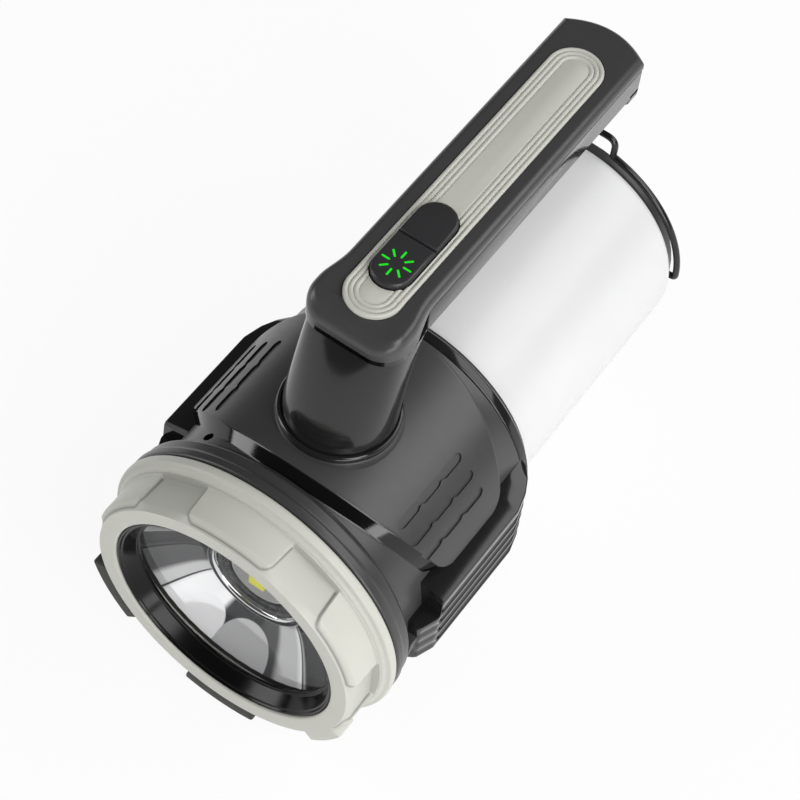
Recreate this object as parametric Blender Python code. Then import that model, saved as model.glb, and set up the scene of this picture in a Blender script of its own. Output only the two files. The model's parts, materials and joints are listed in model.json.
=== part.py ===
"""Portable searchlight lantern with a fixed handle, a rear lantern and a folding hook.

The lamp is modelled around its own axis: the lens looks along -Y, the lantern lies
towards +Y and the handle stands up along +Z. The empty lamp_axis carries that frame
and lifts it so that the feet stand on Z = 0.
"""

import math

import bmesh
import bpy
from mathutils import Matrix, Vector

# Gaps and cutting
GAP = 0.0003
RUN = 0.0004
OVERRUN = 0.002
FUSE = 0.0006
WELD = 0.000005

# Facets round each kind of turned piece
SIDES_LARGE = 48
SIDES_SADDLE = 72
SIDES_SMALL = 24
SIDES_PIN = 12

# Bezel
FLANGE_RADIUS = 0.0500
FLANGE_DEPTH = 0.0038
PAD_REAR_INSET = 0.0014
PAD_REAR_RADIUS = FLANGE_RADIUS - PAD_REAR_INSET
PAD_FRONT_INSET = 0.0034
PAD_FRONT_RADIUS = FLANGE_RADIUS - PAD_FRONT_INSET
RIM_INSET = 0.0044
RIM_RADIUS = FLANGE_RADIUS - RIM_INSET
RIM_WIDTH = 0.0067
RIM_MOUTH_RADIUS = RIM_RADIUS - RIM_WIDTH
BEZEL_DEPTH = 0.0180
PAD_STEP_DEPTH = 0.0026
GROOVE_INSET = 0.0030
GROOVE_RADIUS = FLANGE_RADIUS - GROOVE_INSET
GROOVE_WIDTH = 0.0016
PAD_COUNT = 6
FACET_REAR_INSET = 0.0034
FACET_REAR_DISTANCE = FLANGE_RADIUS - FACET_REAR_INSET
FACET_FRONT_INSET = 0.0052
FACET_FRONT_DISTANCE = FLANGE_RADIUS - FACET_FRONT_INSET
FACET_WIDTH = 0.0190
LENS_LEDGE = 0.0016
BEZEL_BORE_RADIUS = RIM_MOUTH_RADIUS + LENS_LEDGE
BEZEL_NECK_WALL = 0.0011
BEZEL_NECK_RADIUS = BEZEL_BORE_RADIUS + BEZEL_NECK_WALL
BEZEL_NECK_LENGTH = 0.0075
BUMPER_ANGLES = (-150, -90, -30)
BUMPER_SPAN_DEG = 31
BUMPER_PROUD = 0.0022
BUMPER_SEAT = 0.0012
BUMPER_LENGTH = 0.0060
BUMPER_SETBACK = 0.0014
BUMPER_STEPS = 8

# Front optics
RETAINER_SETBACK = 0.0008
RETAINER_RIM = 0.0017
RETAINER_MOUTH_RADIUS = RIM_MOUTH_RADIUS - RETAINER_RIM
RETAINER_FUNNEL = 0.0027
RETAINER_LIP_RADIUS = RETAINER_MOUTH_RADIUS - RETAINER_FUNNEL
RETAINER_LIP = 0.0010
RETAINER_REAR = -0.0108
LENS_THICKNESS = 0.0020
SEAL_WIDTH = 0.0026
SEAL_THICKNESS = 0.0012
REFLECTOR_RECESS = 0.0002
REFLECTOR_MOUTH_RADIUS = RETAINER_LIP_RADIUS - REFLECTOR_RECESS
REFLECTOR_WALL = 0.0012
REFLECTOR_THROAT_RADIUS = 0.0159
REFLECTOR_FLOOR = 0.0022
BOWL_STEPS = 6
LED_COLLAR_BORE = 0.0100
LED_COLLAR_FRONT = -0.0016
LED_COLLAR_EDGE = 0.0008
LED_COLLAR_BEVEL = 0.0020
LED_DOME_RADIUS = 0.0076
LED_DOME_HEIGHT = 0.0036
LED_CHIP_HALF = 0.0026
LED_CHIP_THICKNESS = 0.0006
LED_BOARD_RADIUS = 0.0145
LED_BOARD_THICKNESS = 0.0014
SINK_PLATE = 0.0022
SINK_FIN_LENGTH = 0.0045
SINK_FIN_WALL = 0.0016
SINK_FIN_RADII = (0.0275, 0.0190, 0.0105)
SINK_CORE_RADIUS = 0.0040

# Body
COLLAR_STEP = 0.0003
COLLAR_RADIUS = FLANGE_RADIUS - COLLAR_STEP
COLLAR_RING_LENGTH = 0.0034
COLLAR_GROOVE = 0.0009
COLLAR_SHOULDER_AT = 0.0072
COLLAR_LENGTH = 0.0095
COLLAR_TAPER = 0.0036
COLLAR_END_RADIUS = COLLAR_RADIUS - COLLAR_TAPER
CORE_RADIUS = 0.0443
CORE_WALL = 0.0028
CORE_SHOULDER_AT = 0.0625
BODY_END = 0.0730
REAR_RADIUS = 0.0442
LOWER_STEP = 0.0035
LOWER_RADIUS = CORE_RADIUS + LOWER_STEP
SADDLE_RISE = 0.0045
SADDLE_RADIUS = CORE_RADIUS + SADDLE_RISE
SADDLE_DROP = 0.0018
SADDLE_FRONT = 0.0135
SADDLE_FRONT_SLOPE = 0.0036
SADDLE_REAR = 0.0712
SADDLE_REAR_SLOPE = 0.0014
SADDLE_LEAN_DEG = 24.5
SADDLE_FOOT = 0.0150
GRIP_PROUD = 0.0063
GRIP_HALF_WIDTH = CORE_RADIUS + GRIP_PROUD
GRIP_DEPTH = 0.0091
GRIP_INNER = GRIP_HALF_WIDTH - GRIP_DEPTH
GRIP_TOP = 0.0122
GRIP_TOP_INNER = 0.0146
GRIP_BOTTOM = -0.0148
GRIP_FRONT = 0.0130
GRIP_REAR = 0.0740
GRIP_RIB_COUNT = 4
GRIP_RIB_DEPTH = 0.0022
GRIP_RIB_FRONT = 0.0205
GRIP_STEP_TOP = 0.0056
GRIP_FRONT_SLANT = 0.0060
GRIP_FRONT_NARROWING = 0.0022
GRIP_REAR_SLANT = 0.0140
GRIP_REAR_NARROWING = 0.0066
# Points of the rear end, as shares of its narrowing and of its length
GRIP_REAR_SHARES = ((0, 0), (0.27, 0.46), (1, 1))
MARK_HOLE_RADIUS = 0.0017
MARK_HOLE_DEPTH = 0.0030
FRONT_MARK_X = -0.0290
FRONT_MARK_Y = 0.0152
REAR_MARK_X = -0.0240
REAR_MARK_Y = 0.0580

# Engraved grip pattern on the saddle
LINK_COUNT = 3
LINK_LENGTH = 0.0104
LINK_WIDTH = 0.0030
LINK_NECK_WIDTH = 0.0014
LINK_DEPTH = 0.0006
LINK_TURNS_DEG = (41.3, 49.3, 57.2)
LINK_START = 0.0212

# Lantern
REAR_COLLAR_LENGTH = 0.0040
REAR_COLLAR_EDGE = 0.0009
DIFFUSER_RADIUS = 0.0397
DIFFUSER_END_RADIUS = 0.0393
DIFFUSER_WALL = 0.0018
DIFFUSER_START = 0.0743
DIFFUSER_END = 0.1681
DIFFUSER_EDGE = 0.0030
DIFFUSER_EDGE_STEPS = 4
SEAL_RING_WIDTH = 0.0012
SEAL_RING_RADIUS = 0.0422
LANTERN_BOARD_THICKNESS = 0.0016
LED_RING_RADIUS = 0.0290
LED_RING_BORE = 0.0240
LED_RING_THICKNESS = 0.0009
SPREADER_BASE_RADIUS = 0.0130
SPREADER_BASE_HEIGHT = 0.0020
SPREADER_TIP_RADIUS = 0.0050
SPREADER_LENGTH = 0.0620
CAP_RADIUS = 0.0364
CAP_THICKNESS = 0.0046
CAP_EDGE = 0.0008
CAP_DISH_RADIUS = 0.0240
CAP_DISH_DEPTH = 0.0014
CAP_SCREW_COUNT = 3
CAP_SCREW_CIRCLE = 0.0302
CAP_SCREW_LENGTH = 0.0020

# Hook bail
BAIL_RADIUS = 0.0395
BAIL_WIRE = 0.0011
BAIL_LIFT = 0.0019
BAIL_TENON_LENGTH = 0.0072
BAIL_HUMP_HALF_WIDTH = 0.0098
BAIL_HUMP_TOP = 0.0462
BAIL_HUMP_CORNER = 0.0046
BAIL_ARC_STEPS = 7
BAIL_CORNER_STEPS = 4
BAIL_FOOT_TURN_DEG = 5

# Handle post
POST_STATION = 0.0365
BOSS_RADIUS = 0.0186
BOSS_RISE = 0.0004
BOSS_TOP = SADDLE_RADIUS - SADDLE_DROP + BOSS_RISE
RING_BORE_RADIUS = 0.0173
RING_HEIGHT = 0.0018
RING_EDGE = 0.0008
POST_FOOT_RADIUS = 0.0169
POST_BORE_RADIUS = 0.0070
POST_TOP = 0.0815
POST_SIDES = 32
HEAD_CENTRE = 0.0465
HEAD_HALF_WIDTH = 0.0157
HEAD_HALF_DEPTH = 0.0126
# Each section's height, centre, half width and half depth, all as shares of the way
# from foot to head, and the exponent that squares its outline
POST_SECTION_SHARES = (
    (0.00, 0.00, 0.00, 0.00, 2.0),
    (0.25, 0.10, 0.12, 0.15, 2.0),
    (0.50, 0.34, 0.36, 0.42, 2.15),
    (0.75, 0.66, 0.68, 0.72, 2.5),
    (1.00, 1.00, 1.00, 1.00, 3.0),
)

# Handle arm
ARM_HALF_WIDTH = 0.0142
ARM_LOWER_HALF_WIDTH = 0.0138
ARM_BOTTOM = 0.0777
ARM_FLOOR = 0.0024
ARM_SEAM = 0.0876
ARM_TOP = 0.0916
ARM_EDGE = 0.0034
ARM_EDGE_STEPS = 3
ARM_TIP_SIDE = 0.1655
ARM_TIP_BULGE = 0.0050
ARM_TIP_STEPS = 6
ARM_LOWER_TIP = 0.1660
ARM_LIP_LENGTH = 0.0060
ARM_LIP_TAPER = 0.0011
ARM_LIP_DROP = 0.0016
ARM_GUSSET_START = 0.0495
ARM_GUSSET_LOW = 0.0625
ARM_GUSSET_END = 0.0598
# Points of the sweep from post to arm, as shares of its run and of its rise
GUSSET_SHARES = ((0, 0), (0.39, 0.55), (0.74, 0.90), (1, 1))
COVER_HEAD_HALF_WIDTH = 0.0162
COVER_HEAD_FRONT = 0.0338
COVER_HEAD_CORNER = 0.0082
COVER_HEAD_CORNER_STEPS = 6
COVER_HEAD_END = 0.0470
COVER_NECK_AT = 0.0545
COVER_ROOF = 0.0018
POCKET_HALF_WIDTH = 0.0108
SWITCH_POCKET = (0.0470, 0.0925)
EMPTY_POCKET = (0.1035, 0.1470)
HANDLE_SCREW_FRONT = 0.0980
HANDLE_SCREW_REAR = 0.1530
HANDLE_SCREW_STATIONS = (HANDLE_SCREW_FRONT, HANDLE_SCREW_REAR)
HANDLE_SCREW_TIP = 0.0893

# Inlay strip
INLAY_HALF_WIDTH = 0.0088
INLAY_FRONT = 0.0395
INLAY_REAR = 0.1578
INLAY_DEPTH = 0.0012
INLAY_PROUD = 0.0005
INLAY_RIDGE = 0.0009
INLAY_GROOVE = 0.0005
INLAY_GROOVE_DEPTH = 0.0006
INLAY_RIDGE_COUNT = 3
ARC_STEPS = 8

# Buttons
BUTTON_HALF_WIDTH = 0.0064
BUTTON_FRONT = 0.0505
BUTTON_SPLIT = 0.0684
BUTTON_REAR = 0.0840
BUTTON_TOP = 0.0952
BUTTON_TRAVEL = 0.0008
BUTTON_EDGE = 0.0007
BUTTON_SKIRT = 0.0011
BUTTON_SKIRT_THICKNESS = 0.0012
ICON_STATION = 0.0583
ICON_RAY_COUNT = 8
ICON_RAY_START = 0.0025
ICON_RAY_END = 0.0045
ICON_RAY_WIDTH = 0.0007
ICON_SKIN = 0.0012
ICON_HUB_RADIUS = 0.0049
ICON_HUB_THICKNESS = 0.0014
SWITCH_BOARD_HALF_WIDTH = 0.0100
SWITCH_BOARD_THICKNESS = 0.0014
SWITCH_HALF = 0.0029
SWITCH_HEIGHT = 0.0024
MEMBRANE_THICKNESS = 0.0012

# Under side, feet and fasteners
FOOT_BLOCK_HALF_WIDTH = 0.0270
FOOT_BLOCK_FRONT = 0.0104
FOOT_BLOCK_REAR = 0.0710
FOOT_BLOCK_DROP = 0.0027
FOOT_BLOCK_BOTTOM = -LOWER_RADIUS - FOOT_BLOCK_DROP
FOOT_X = 0.0222
FOOT_WIDTH = 0.0070
FOOT_INSET = 0.0022
FOOT_SEAT = 0.0010
FOOT_PROUD = 0.0025
REST_LEVEL = FOOT_BLOCK_BOTTOM - FOOT_PROUD
SCREW_HEAD_RADIUS = 0.0029
SCREW_HEAD_HEIGHT = 0.0018
SCREW_SHAFT_RADIUS = 0.0014
SHELL_SCREW_X = 0.0140
SHELL_SCREW_FRONT = 0.0172
SHELL_SCREW_REAR = 0.0664
SHELL_SCREW_STATIONS = (SHELL_SCREW_FRONT, SHELL_SCREW_REAR)
SHELL_SCREW_TIP = 0.0100
SHELL_BOSS_RADIUS = 0.0036

# Power
CELL_RADIUS = 0.0091
CELL_LENGTH = 0.0650
CELL_LEVEL = -0.0102
CELL_FRONT_STATION = 0.0335
CELL_REAR_STATION = 0.0530
CELL_STATIONS = (CELL_FRONT_STATION, CELL_REAR_STATION)
CELL_CAP_RADIUS = 0.0030
CELL_CAP_LENGTH = 0.0010
TRAY_WALL = 0.0014
TRAY_DEPTH = 0.0060
TRAY_INSET = 0.0030
TRAY_LEG_INSET = 0.0030
TRAY_LEG_RADIUS = 0.0015
DRIVER_HALF_WIDTH = 0.0260
DRIVER_LEVEL = 0.0008
DRIVER_THICKNESS = 0.0016
DRIVER_MARGIN = 0.0004
DRIVER_COIL_RADIUS = 0.0050
DRIVER_COIL_HEIGHT = 0.0060
DRIVER_CHIP_HALF = 0.0040
DRIVER_CHIP_HEIGHT = 0.0020
DRIVER_PART_X = 0.0120
PORT_LEVEL = -0.0235
PORT_STATION = 0.0410
PORT_BOSS_SINK = 0.0016
PORT_BOSS_FACE = LOWER_RADIUS - PORT_BOSS_SINK
PORT_BOSS_DEPTH = 0.0110
PORT_BOSS_INNER = PORT_BOSS_FACE - PORT_BOSS_DEPTH
PORT_BOSS_HALF_LENGTH = 0.0120
PORT_BOSS_HALF_HEIGHT = 0.0080
PORT_HALF_LENGTH = 0.0045
PORT_HALF_HEIGHT = 0.0017
PORT_DEPTH = 0.0072
PORT_WALL = 0.0005
FLAP_THICKNESS = 0.0018
FLAP_MARGIN = 0.0010
FLAP_PLUG_LENGTH = 0.0009

# Places that follow from the sizes above
CAP_START = DIFFUSER_END + GAP
CAP_END = CAP_START + CAP_THICKNESS
LAMP_MIDDLE = (CAP_END - BEZEL_DEPTH) / 2
CORE_BORE = CORE_RADIUS - CORE_WALL
BODY_START = COLLAR_LENGTH + GAP
COLLAR_BORE = BEZEL_NECK_RADIUS + RUN
SADDLE_TOP = SADDLE_RADIUS - SADDLE_DROP
LENS_RADIUS = BEZEL_BORE_RADIUS - GAP
LENS_FRONT = RETAINER_REAR + GAP
REFLECTOR_FRONT = LENS_FRONT + LENS_THICKNESS + GAP + SEAL_THICKNESS + GAP
LED_BOARD_FRONT = REFLECTOR_FLOOR + REFLECTOR_WALL + GAP
SINK_FRONT = LED_BOARD_FRONT + LED_BOARD_THICKNESS + GAP
LED_COLLAR_RADIUS = REFLECTOR_THROAT_RADIUS - RUN
LANTERN_BOARD_RADIUS = DIFFUSER_RADIUS - DIFFUSER_WALL - RUN
LANTERN_BOARD_START = DIFFUSER_START + GAP
LANTERN_BOARD_END = LANTERN_BOARD_START + LANTERN_BOARD_THICKNESS
INLAY_FLOOR = ARM_TOP - INLAY_DEPTH
SWITCH_BOARD_BOTTOM = ARM_BOTTOM + ARM_FLOOR + GAP
SWITCH_FOOT = SWITCH_BOARD_BOTTOM + SWITCH_BOARD_THICKNESS + GAP
MEMBRANE_BOTTOM = SWITCH_FOOT + SWITCH_HEIGHT + GAP
BUTTON_BOTTOM = MEMBRANE_BOTTOM + MEMBRANE_THICKNESS + BUTTON_TRAVEL + GAP
MODE_STATION = (BUTTON_SPLIT + BUTTON_REAR) / 2
PORT_PIVOT = (
    -PORT_BOSS_FACE - GAP - FLAP_THICKNESS / 2,
    PORT_STATION,
    PORT_LEVEL - PORT_BOSS_HALF_HEIGHT,
)

ALONG = (0, 1, 0)
ACROSS = (1, 0, 0)
UP = (0, 0, 1)


def clear_scene():
    for item in list(bpy.data.objects):
        bpy.data.objects.remove(item, do_unlink=True)


def material(name, colour, roughness, metallic=0.0):
    made = bpy.data.materials.new(name)
    made.use_nodes = True
    shader = made.node_tree.nodes["Principled BSDF"]
    shader.inputs["Base Color"].default_value = (*colour, 1.0)
    shader.inputs["Roughness"].default_value = roughness
    shader.inputs["Metallic"].default_value = metallic
    return made


def finishes():
    return {
        "satin_black": material("satin_black", (0.035, 0.036, 0.038), 0.38),
        "gloss_black": material("gloss_black", (0.020, 0.020, 0.022), 0.16),
        "pale_grey": material("pale_grey", (0.60, 0.60, 0.55), 0.45),
        "rubber": material("rubber", (0.050, 0.050, 0.045), 0.70),
        "clear": material("clear", (0.90, 0.92, 0.93), 0.05),
        "opal": material("opal", (0.88, 0.88, 0.88), 0.25),
        "mirror": material("mirror", (0.85, 0.86, 0.88), 0.06, 1.0),
        "steel": material("steel", (0.55, 0.55, 0.56), 0.30, 1.0),
        "alloy": material("alloy", (0.65, 0.66, 0.67), 0.35, 1.0),
        "board": material("board", (0.05, 0.22, 0.10), 0.50),
        "phosphor": material("phosphor", (0.85, 0.78, 0.12), 0.40),
        "white": material("white", (0.85, 0.85, 0.84), 0.45),
        "icon_green": material("icon_green", (0.08, 0.80, 0.10), 0.40),
    }


def finish_mesh(name, shape, finish, parent, sharp_deg=35.0):
    """Turns a bmesh into a smooth-shaded object under its parent empty."""
    bmesh.ops.remove_doubles(shape, verts=shape.verts, dist=WELD)
    bmesh.ops.recalc_face_normals(shape, faces=shape.faces)
    mesh = bpy.data.meshes.new(name)
    shape.to_mesh(mesh)
    shape.free()
    mesh.shade_smooth()
    mesh.set_sharp_from_angle(angle=math.radians(sharp_deg))
    mesh.materials.append(finish)
    made = bpy.data.objects.new(name, mesh)
    bpy.context.collection.objects.link(made)
    made.parent = parent
    return made


def empty_at(name, place, parent=None):
    made = bpy.data.objects.new(name, None)
    bpy.context.collection.objects.link(made)
    made.location = place
    made.parent = parent
    return made


def boolean(target, tool, operation="DIFFERENCE"):
    tool.hide_render = True
    tool.display_type = "WIRE"
    step = target.modifiers.new(operation.lower(), "BOOLEAN")
    step.operation = operation
    step.object = tool
    step.solver = "EXACT"


def cut(target, name, shape):
    """Cuts a shape out of a piece that shares its parent and finish."""
    boolean(target, finish_mesh(name, shape, target.data.materials[0], target.parent))


def join(target, name, shape):
    """Fuses a shape to a piece that shares its parent and finish."""
    boolean(target, finish_mesh(name, shape, target.data.materials[0], target.parent), "UNION")


def turned_shape(profile, sides, centre=(0, 0, 0), axis=ALONG):
    """Spins (radius, station) points about an axis. A profile that starts and ends on
    the axis gives a solid, any other one is closed into a ring."""
    shape = bmesh.new()
    axis = Vector(axis)
    across = Vector(UP) if axis.x else Vector(ACROSS)
    middle = Vector(centre)
    verts = [shape.verts.new(middle + across * r + axis * s) for r, s in profile]
    edges = [shape.edges.new(pair) for pair in zip(verts, verts[1:])]
    if profile[0][0] > 0:
        edges.append(shape.edges.new((verts[-1], verts[0])))
    bmesh.ops.spin(
        shape, geom=verts + edges, cent=middle, axis=axis,
        angle=math.tau, steps=sides, use_merge=True, use_duplicate=False,
    )
    bmesh.ops.remove_doubles(shape, verts=shape.verts, dist=WELD)
    return shape


def add_turned(shape, profile, sides, centre, axis=ALONG):
    """Adds a separate turned solid to a shape."""
    extra = turned_shape(profile, sides, centre, axis)
    mesh = bpy.data.meshes.new("turned_part")
    extra.to_mesh(mesh)
    extra.free()
    shape.from_mesh(mesh)
    bpy.data.meshes.remove(mesh)


def rod(radius, start, end):
    return [(0, start), (radius, start), (radius, end), (0, end)]


def ring(bore, radius, start, end):
    return [(bore, start), (radius, start), (radius, end), (bore, end)]


def turned(name, profile, finish, parent, sides=SIDES_LARGE, centre=(0, 0, 0), axis=ALONG):
    return finish_mesh(name, turned_shape(profile, sides, centre, axis), finish, parent)


def box_shape(low, high, shape=None):
    shape = shape or bmesh.new()
    low, high = Vector(low), Vector(high)
    place = Matrix.Translation((low + high) / 2) @ Matrix.Diagonal((*(high - low), 1.0))
    bmesh.ops.create_cube(shape, size=1.0, matrix=place)
    return shape


def box(name, low, high, finish, parent):
    return finish_mesh(name, box_shape(low, high), finish, parent)


def prism_shape(outline, low, high, plane="XY", shape=None):
    """Extrudes an outline. Plane XY rises along Z, XZ runs along Y, YZ runs along X."""
    shape = shape or bmesh.new()
    place = {
        "XY": lambda a, b, c: (a, b, c),
        "XZ": lambda a, b, c: (a, c, b),
        "YZ": lambda a, b, c: (c, a, b),
    }[plane]
    face = shape.faces.new([shape.verts.new(place(a, b, low)) for a, b in outline])
    grown = bmesh.ops.extrude_face_region(shape, geom=[face])
    moved = [item for item in grown["geom"] if isinstance(item, bmesh.types.BMVert)]
    bmesh.ops.translate(shape, verts=moved, vec=Vector(place(0, 0, high - low)))
    return shape


def add_tilted_prism(shape, outline, low, high, plane, tilt, centre=(0, 0, 0)):
    """Adds a prism to a shape and tilts it about a line along the lamp."""
    before = set(shape.verts)
    prism_shape(outline, low, high, plane, shape)
    fresh = [v for v in shape.verts if v not in before]
    bmesh.ops.rotate(shape, verts=fresh, cent=centre, matrix=Matrix.Rotation(tilt, 3, "Y"))


def arc(centre, radius, start_deg, end_deg, steps):
    turn = (end_deg - start_deg) / steps
    angles = [math.radians(start_deg + turn * i) for i in range(steps + 1)]
    return [(centre[0] + radius * math.cos(a), centre[1] + radius * math.sin(a)) for a in angles]


def stadium(half_width, front, rear):
    near = arc((0, front + half_width), half_width, 180, 360, ARC_STEPS)
    far = arc((0, rear - half_width), half_width, 0, 180, ARC_STEPS)
    return near + far


def half_stadium(half_width, front, rear, split, near):
    """The part of a stadium on one side of a straight split."""
    if near:
        end = arc((0, front + half_width), half_width, 180, 360, ARC_STEPS)
        return end + [(half_width, split), (-half_width, split)]
    end = arc((0, rear - half_width), half_width, 0, 180, ARC_STEPS)
    return end + [(-half_width, split), (half_width, split)]


def round_top(shape, level, width, segments):
    """Rounds the outer edges that lie at one height."""
    rim = [
        edge for edge in shape.edges
        if all(abs(v.co.z - level) < WELD for v in edge.verts)
        and len(edge.link_faces) == 2
        and edge.calc_face_angle(0) > math.radians(30)
    ]
    bmesh.ops.bevel(
        shape, geom=rim, offset=width, segments=segments,
        affect="EDGES", profile=0.5, material=-1,
    )


def turned_about_axis(point, angle_deg):
    """Turns an (x, z) pair about the lamp's axis."""
    a = math.radians(angle_deg)
    return (point[0] * math.cos(a) - point[1] * math.sin(a),
            point[0] * math.sin(a) + point[1] * math.cos(a))


# Front head


def make_bezel(paint, lamp):
    pad_front = PAD_STEP_DEPTH - BEZEL_DEPTH
    pad_rear = -FLANGE_DEPTH - GROOVE_WIDTH
    profile = [
        (BEZEL_BORE_RADIUS, BEZEL_NECK_LENGTH), (BEZEL_NECK_RADIUS, BEZEL_NECK_LENGTH),
        (BEZEL_NECK_RADIUS, 0), (FLANGE_RADIUS, 0), (FLANGE_RADIUS, -FLANGE_DEPTH),
        (GROOVE_RADIUS, -FLANGE_DEPTH - GROOVE_WIDTH / 2), (PAD_REAR_RADIUS, pad_rear),
        (PAD_FRONT_RADIUS, pad_front), (RIM_RADIUS, -BEZEL_DEPTH),
        (RIM_MOUTH_RADIUS, -BEZEL_DEPTH), (RIM_MOUTH_RADIUS, RETAINER_REAR),
        (BEZEL_BORE_RADIUS, RETAINER_REAR),
    ]
    bezel = turned("bezel", profile, paint["pale_grey"], lamp)
    cuts = bmesh.new()
    reach = FLANGE_RADIUS + OVERRUN
    wedge = [
        (pad_front, FACET_FRONT_DISTANCE), (pad_rear, FACET_REAR_DISTANCE),
        (pad_rear, reach), (pad_front, reach),
    ]
    half = FACET_WIDTH / 2
    for i in range(PAD_COUNT):
        add_tilted_prism(cuts, wedge, -half, half, "YZ", math.tau * (i + 0.5) / PAD_COUNT)
    cut(bezel, "bezel_facet_cuts", cuts)
    pockets = bmesh.new()
    for angle in BUMPER_ANGLES:
        bumper_shape(angle, BUMPER_SEAT + GAP, OVERRUN + BUMPER_PROUD, GAP, pockets)
    cut(bezel, "bumper_pockets", pockets)


def bumper_shape(middle, depth, height, spare, shape=None):
    """A curved pad in the front corner of one bezel pad."""
    front = -BEZEL_DEPTH + BUMPER_SETBACK - spare
    rear = -BEZEL_DEPTH + BUMPER_SETBACK + BUMPER_LENGTH + spare
    spread = BUMPER_SPAN_DEG / 2 + math.degrees(spare / PAD_FRONT_RADIUS)
    top = PAD_FRONT_RADIUS + height
    outer = arc((0, 0), top, middle - spread, middle + spread, BUMPER_STEPS)
    inner = arc((0, 0), PAD_FRONT_RADIUS - depth, middle + spread, middle - spread, BUMPER_STEPS)
    return prism_shape(outer + inner, front, rear, "XZ", shape)


def make_bumpers(paint, lamp):
    for i, angle in enumerate(BUMPER_ANGLES, 1):
        shape = bumper_shape(angle, BUMPER_SEAT, BUMPER_PROUD, 0)
        finish_mesh(f"bezel_bumper_{i}", shape, paint["rubber"], lamp)


def make_front_glass(paint, lamp):
    front = -BEZEL_DEPTH + RETAINER_SETBACK
    outer = RIM_MOUTH_RADIUS - GAP
    lip_rear = RETAINER_REAR - GAP
    lip_front = lip_rear - RETAINER_LIP
    retainer = [
        (outer, front), (outer, lip_rear), (RETAINER_LIP_RADIUS, lip_rear),
        (RETAINER_LIP_RADIUS, lip_front), (RETAINER_MOUTH_RADIUS, front),
    ]
    turned("lens_retainer", retainer, paint["gloss_black"], lamp)
    lens_rear = LENS_FRONT + LENS_THICKNESS
    turned("front_lens", rod(LENS_RADIUS, LENS_FRONT, lens_rear), paint["clear"], lamp)
    seal_front = lens_rear + GAP
    seal = ring(LENS_RADIUS - SEAL_WIDTH, LENS_RADIUS, seal_front, seal_front + SEAL_THICKNESS)
    turned("lens_seal", seal, paint["rubber"], lamp)


def make_reflector(paint, lamp):
    bowl = []
    for i in range(BOWL_STEPS + 1):
        share = i / BOWL_STEPS
        radius = REFLECTOR_MOUTH_RADIUS + (REFLECTOR_THROAT_RADIUS - REFLECTOR_MOUTH_RADIUS) * share
        depth = REFLECTOR_FRONT + (REFLECTOR_FLOOR - REFLECTOR_FRONT) * math.sin(share * math.pi / 2)
        bowl.append((radius, depth))
    rim = REFLECTOR_FRONT + REFLECTOR_WALL
    back = [(r + REFLECTOR_WALL, d + REFLECTOR_WALL) for r, d in reversed(bowl[1:])]
    profile = bowl + back + [(LENS_RADIUS, rim), (LENS_RADIUS, REFLECTOR_FRONT)]
    turned("reflector", profile, paint["mirror"], lamp)


def make_light_source(paint, lamp):
    board_end = LED_BOARD_FRONT + LED_BOARD_THICKNESS
    board = rod(LED_BOARD_RADIUS, LED_BOARD_FRONT, board_end)
    turned("led_board", board, paint["alloy"], lamp, SIDES_SMALL)
    seat = LED_BOARD_FRONT - GAP
    collar = [
        (LED_COLLAR_BORE, seat), (LED_COLLAR_BORE, LED_COLLAR_FRONT + LED_COLLAR_EDGE),
        (LED_COLLAR_BORE + LED_COLLAR_EDGE, LED_COLLAR_FRONT),
        (LED_COLLAR_RADIUS - LED_COLLAR_BEVEL, LED_COLLAR_FRONT),
        (LED_COLLAR_RADIUS, LED_COLLAR_FRONT + LED_COLLAR_EDGE), (LED_COLLAR_RADIUS, seat),
    ]
    turned("led_collar", collar, paint["mirror"], lamp)
    half = LED_CHIP_HALF
    chip_front = seat - LED_CHIP_THICKNESS
    box("led_chip", (-half, chip_front, -half), (half, seat, half), paint["phosphor"], lamp)
    base = chip_front - GAP
    dome = [(0, base)]
    for i in range(BOWL_STEPS):
        a = math.pi / 2 * i / BOWL_STEPS
        dome.append((LED_DOME_RADIUS * math.cos(a), base - LED_DOME_HEIGHT * math.sin(a)))
    dome.append((0, base - LED_DOME_HEIGHT))
    turned("led_dome", dome, paint["clear"], lamp, SIDES_SMALL)


def make_heat_sink(paint, lamp):
    plate = SINK_FRONT + SINK_PLATE
    tip = plate + SINK_FIN_LENGTH
    half = SINK_FIN_WALL / 2
    profile = [(0, SINK_FRONT), (LENS_RADIUS, SINK_FRONT), (LENS_RADIUS, plate)]
    for radius in SINK_FIN_RADII:
        profile += [
            (radius + half, plate), (radius + half, tip), (radius - half, tip), (radius - half, plate),
        ]
    profile += [(SINK_CORE_RADIUS, plate), (SINK_CORE_RADIUS, tip), (0, tip)]
    turned("heat_sink", profile, paint["alloy"], lamp, SIDES_SMALL)


# Body


def make_front_collar(paint, lamp):
    waist = COLLAR_RADIUS - COLLAR_GROOVE
    profile = [
        (COLLAR_BORE, GAP), (COLLAR_RADIUS, GAP), (COLLAR_RADIUS, COLLAR_RING_LENGTH),
        (waist, COLLAR_RING_LENGTH + COLLAR_GROOVE), (waist, COLLAR_SHOULDER_AT),
        (COLLAR_END_RADIUS, COLLAR_LENGTH), (COLLAR_BORE, COLLAR_LENGTH),
    ]
    turned("front_collar", profile, paint["satin_black"], lamp)


def shell_profile(radius):
    return [
        (CORE_BORE, BODY_START), (radius, BODY_START), (radius, CORE_SHOULDER_AT),
        (REAR_RADIUS, BODY_END), (REAR_RADIUS - CORE_WALL, BODY_END), (CORE_BORE, CORE_SHOULDER_AT),
    ]


def half_space(low, high):
    """A box wider and longer than the body, between two heights."""
    reach = max(CORE_RADIUS, LOWER_RADIUS) + OVERRUN
    return box_shape((-reach, -OVERRUN, low), (reach, BODY_END + OVERRUN, high))


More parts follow.
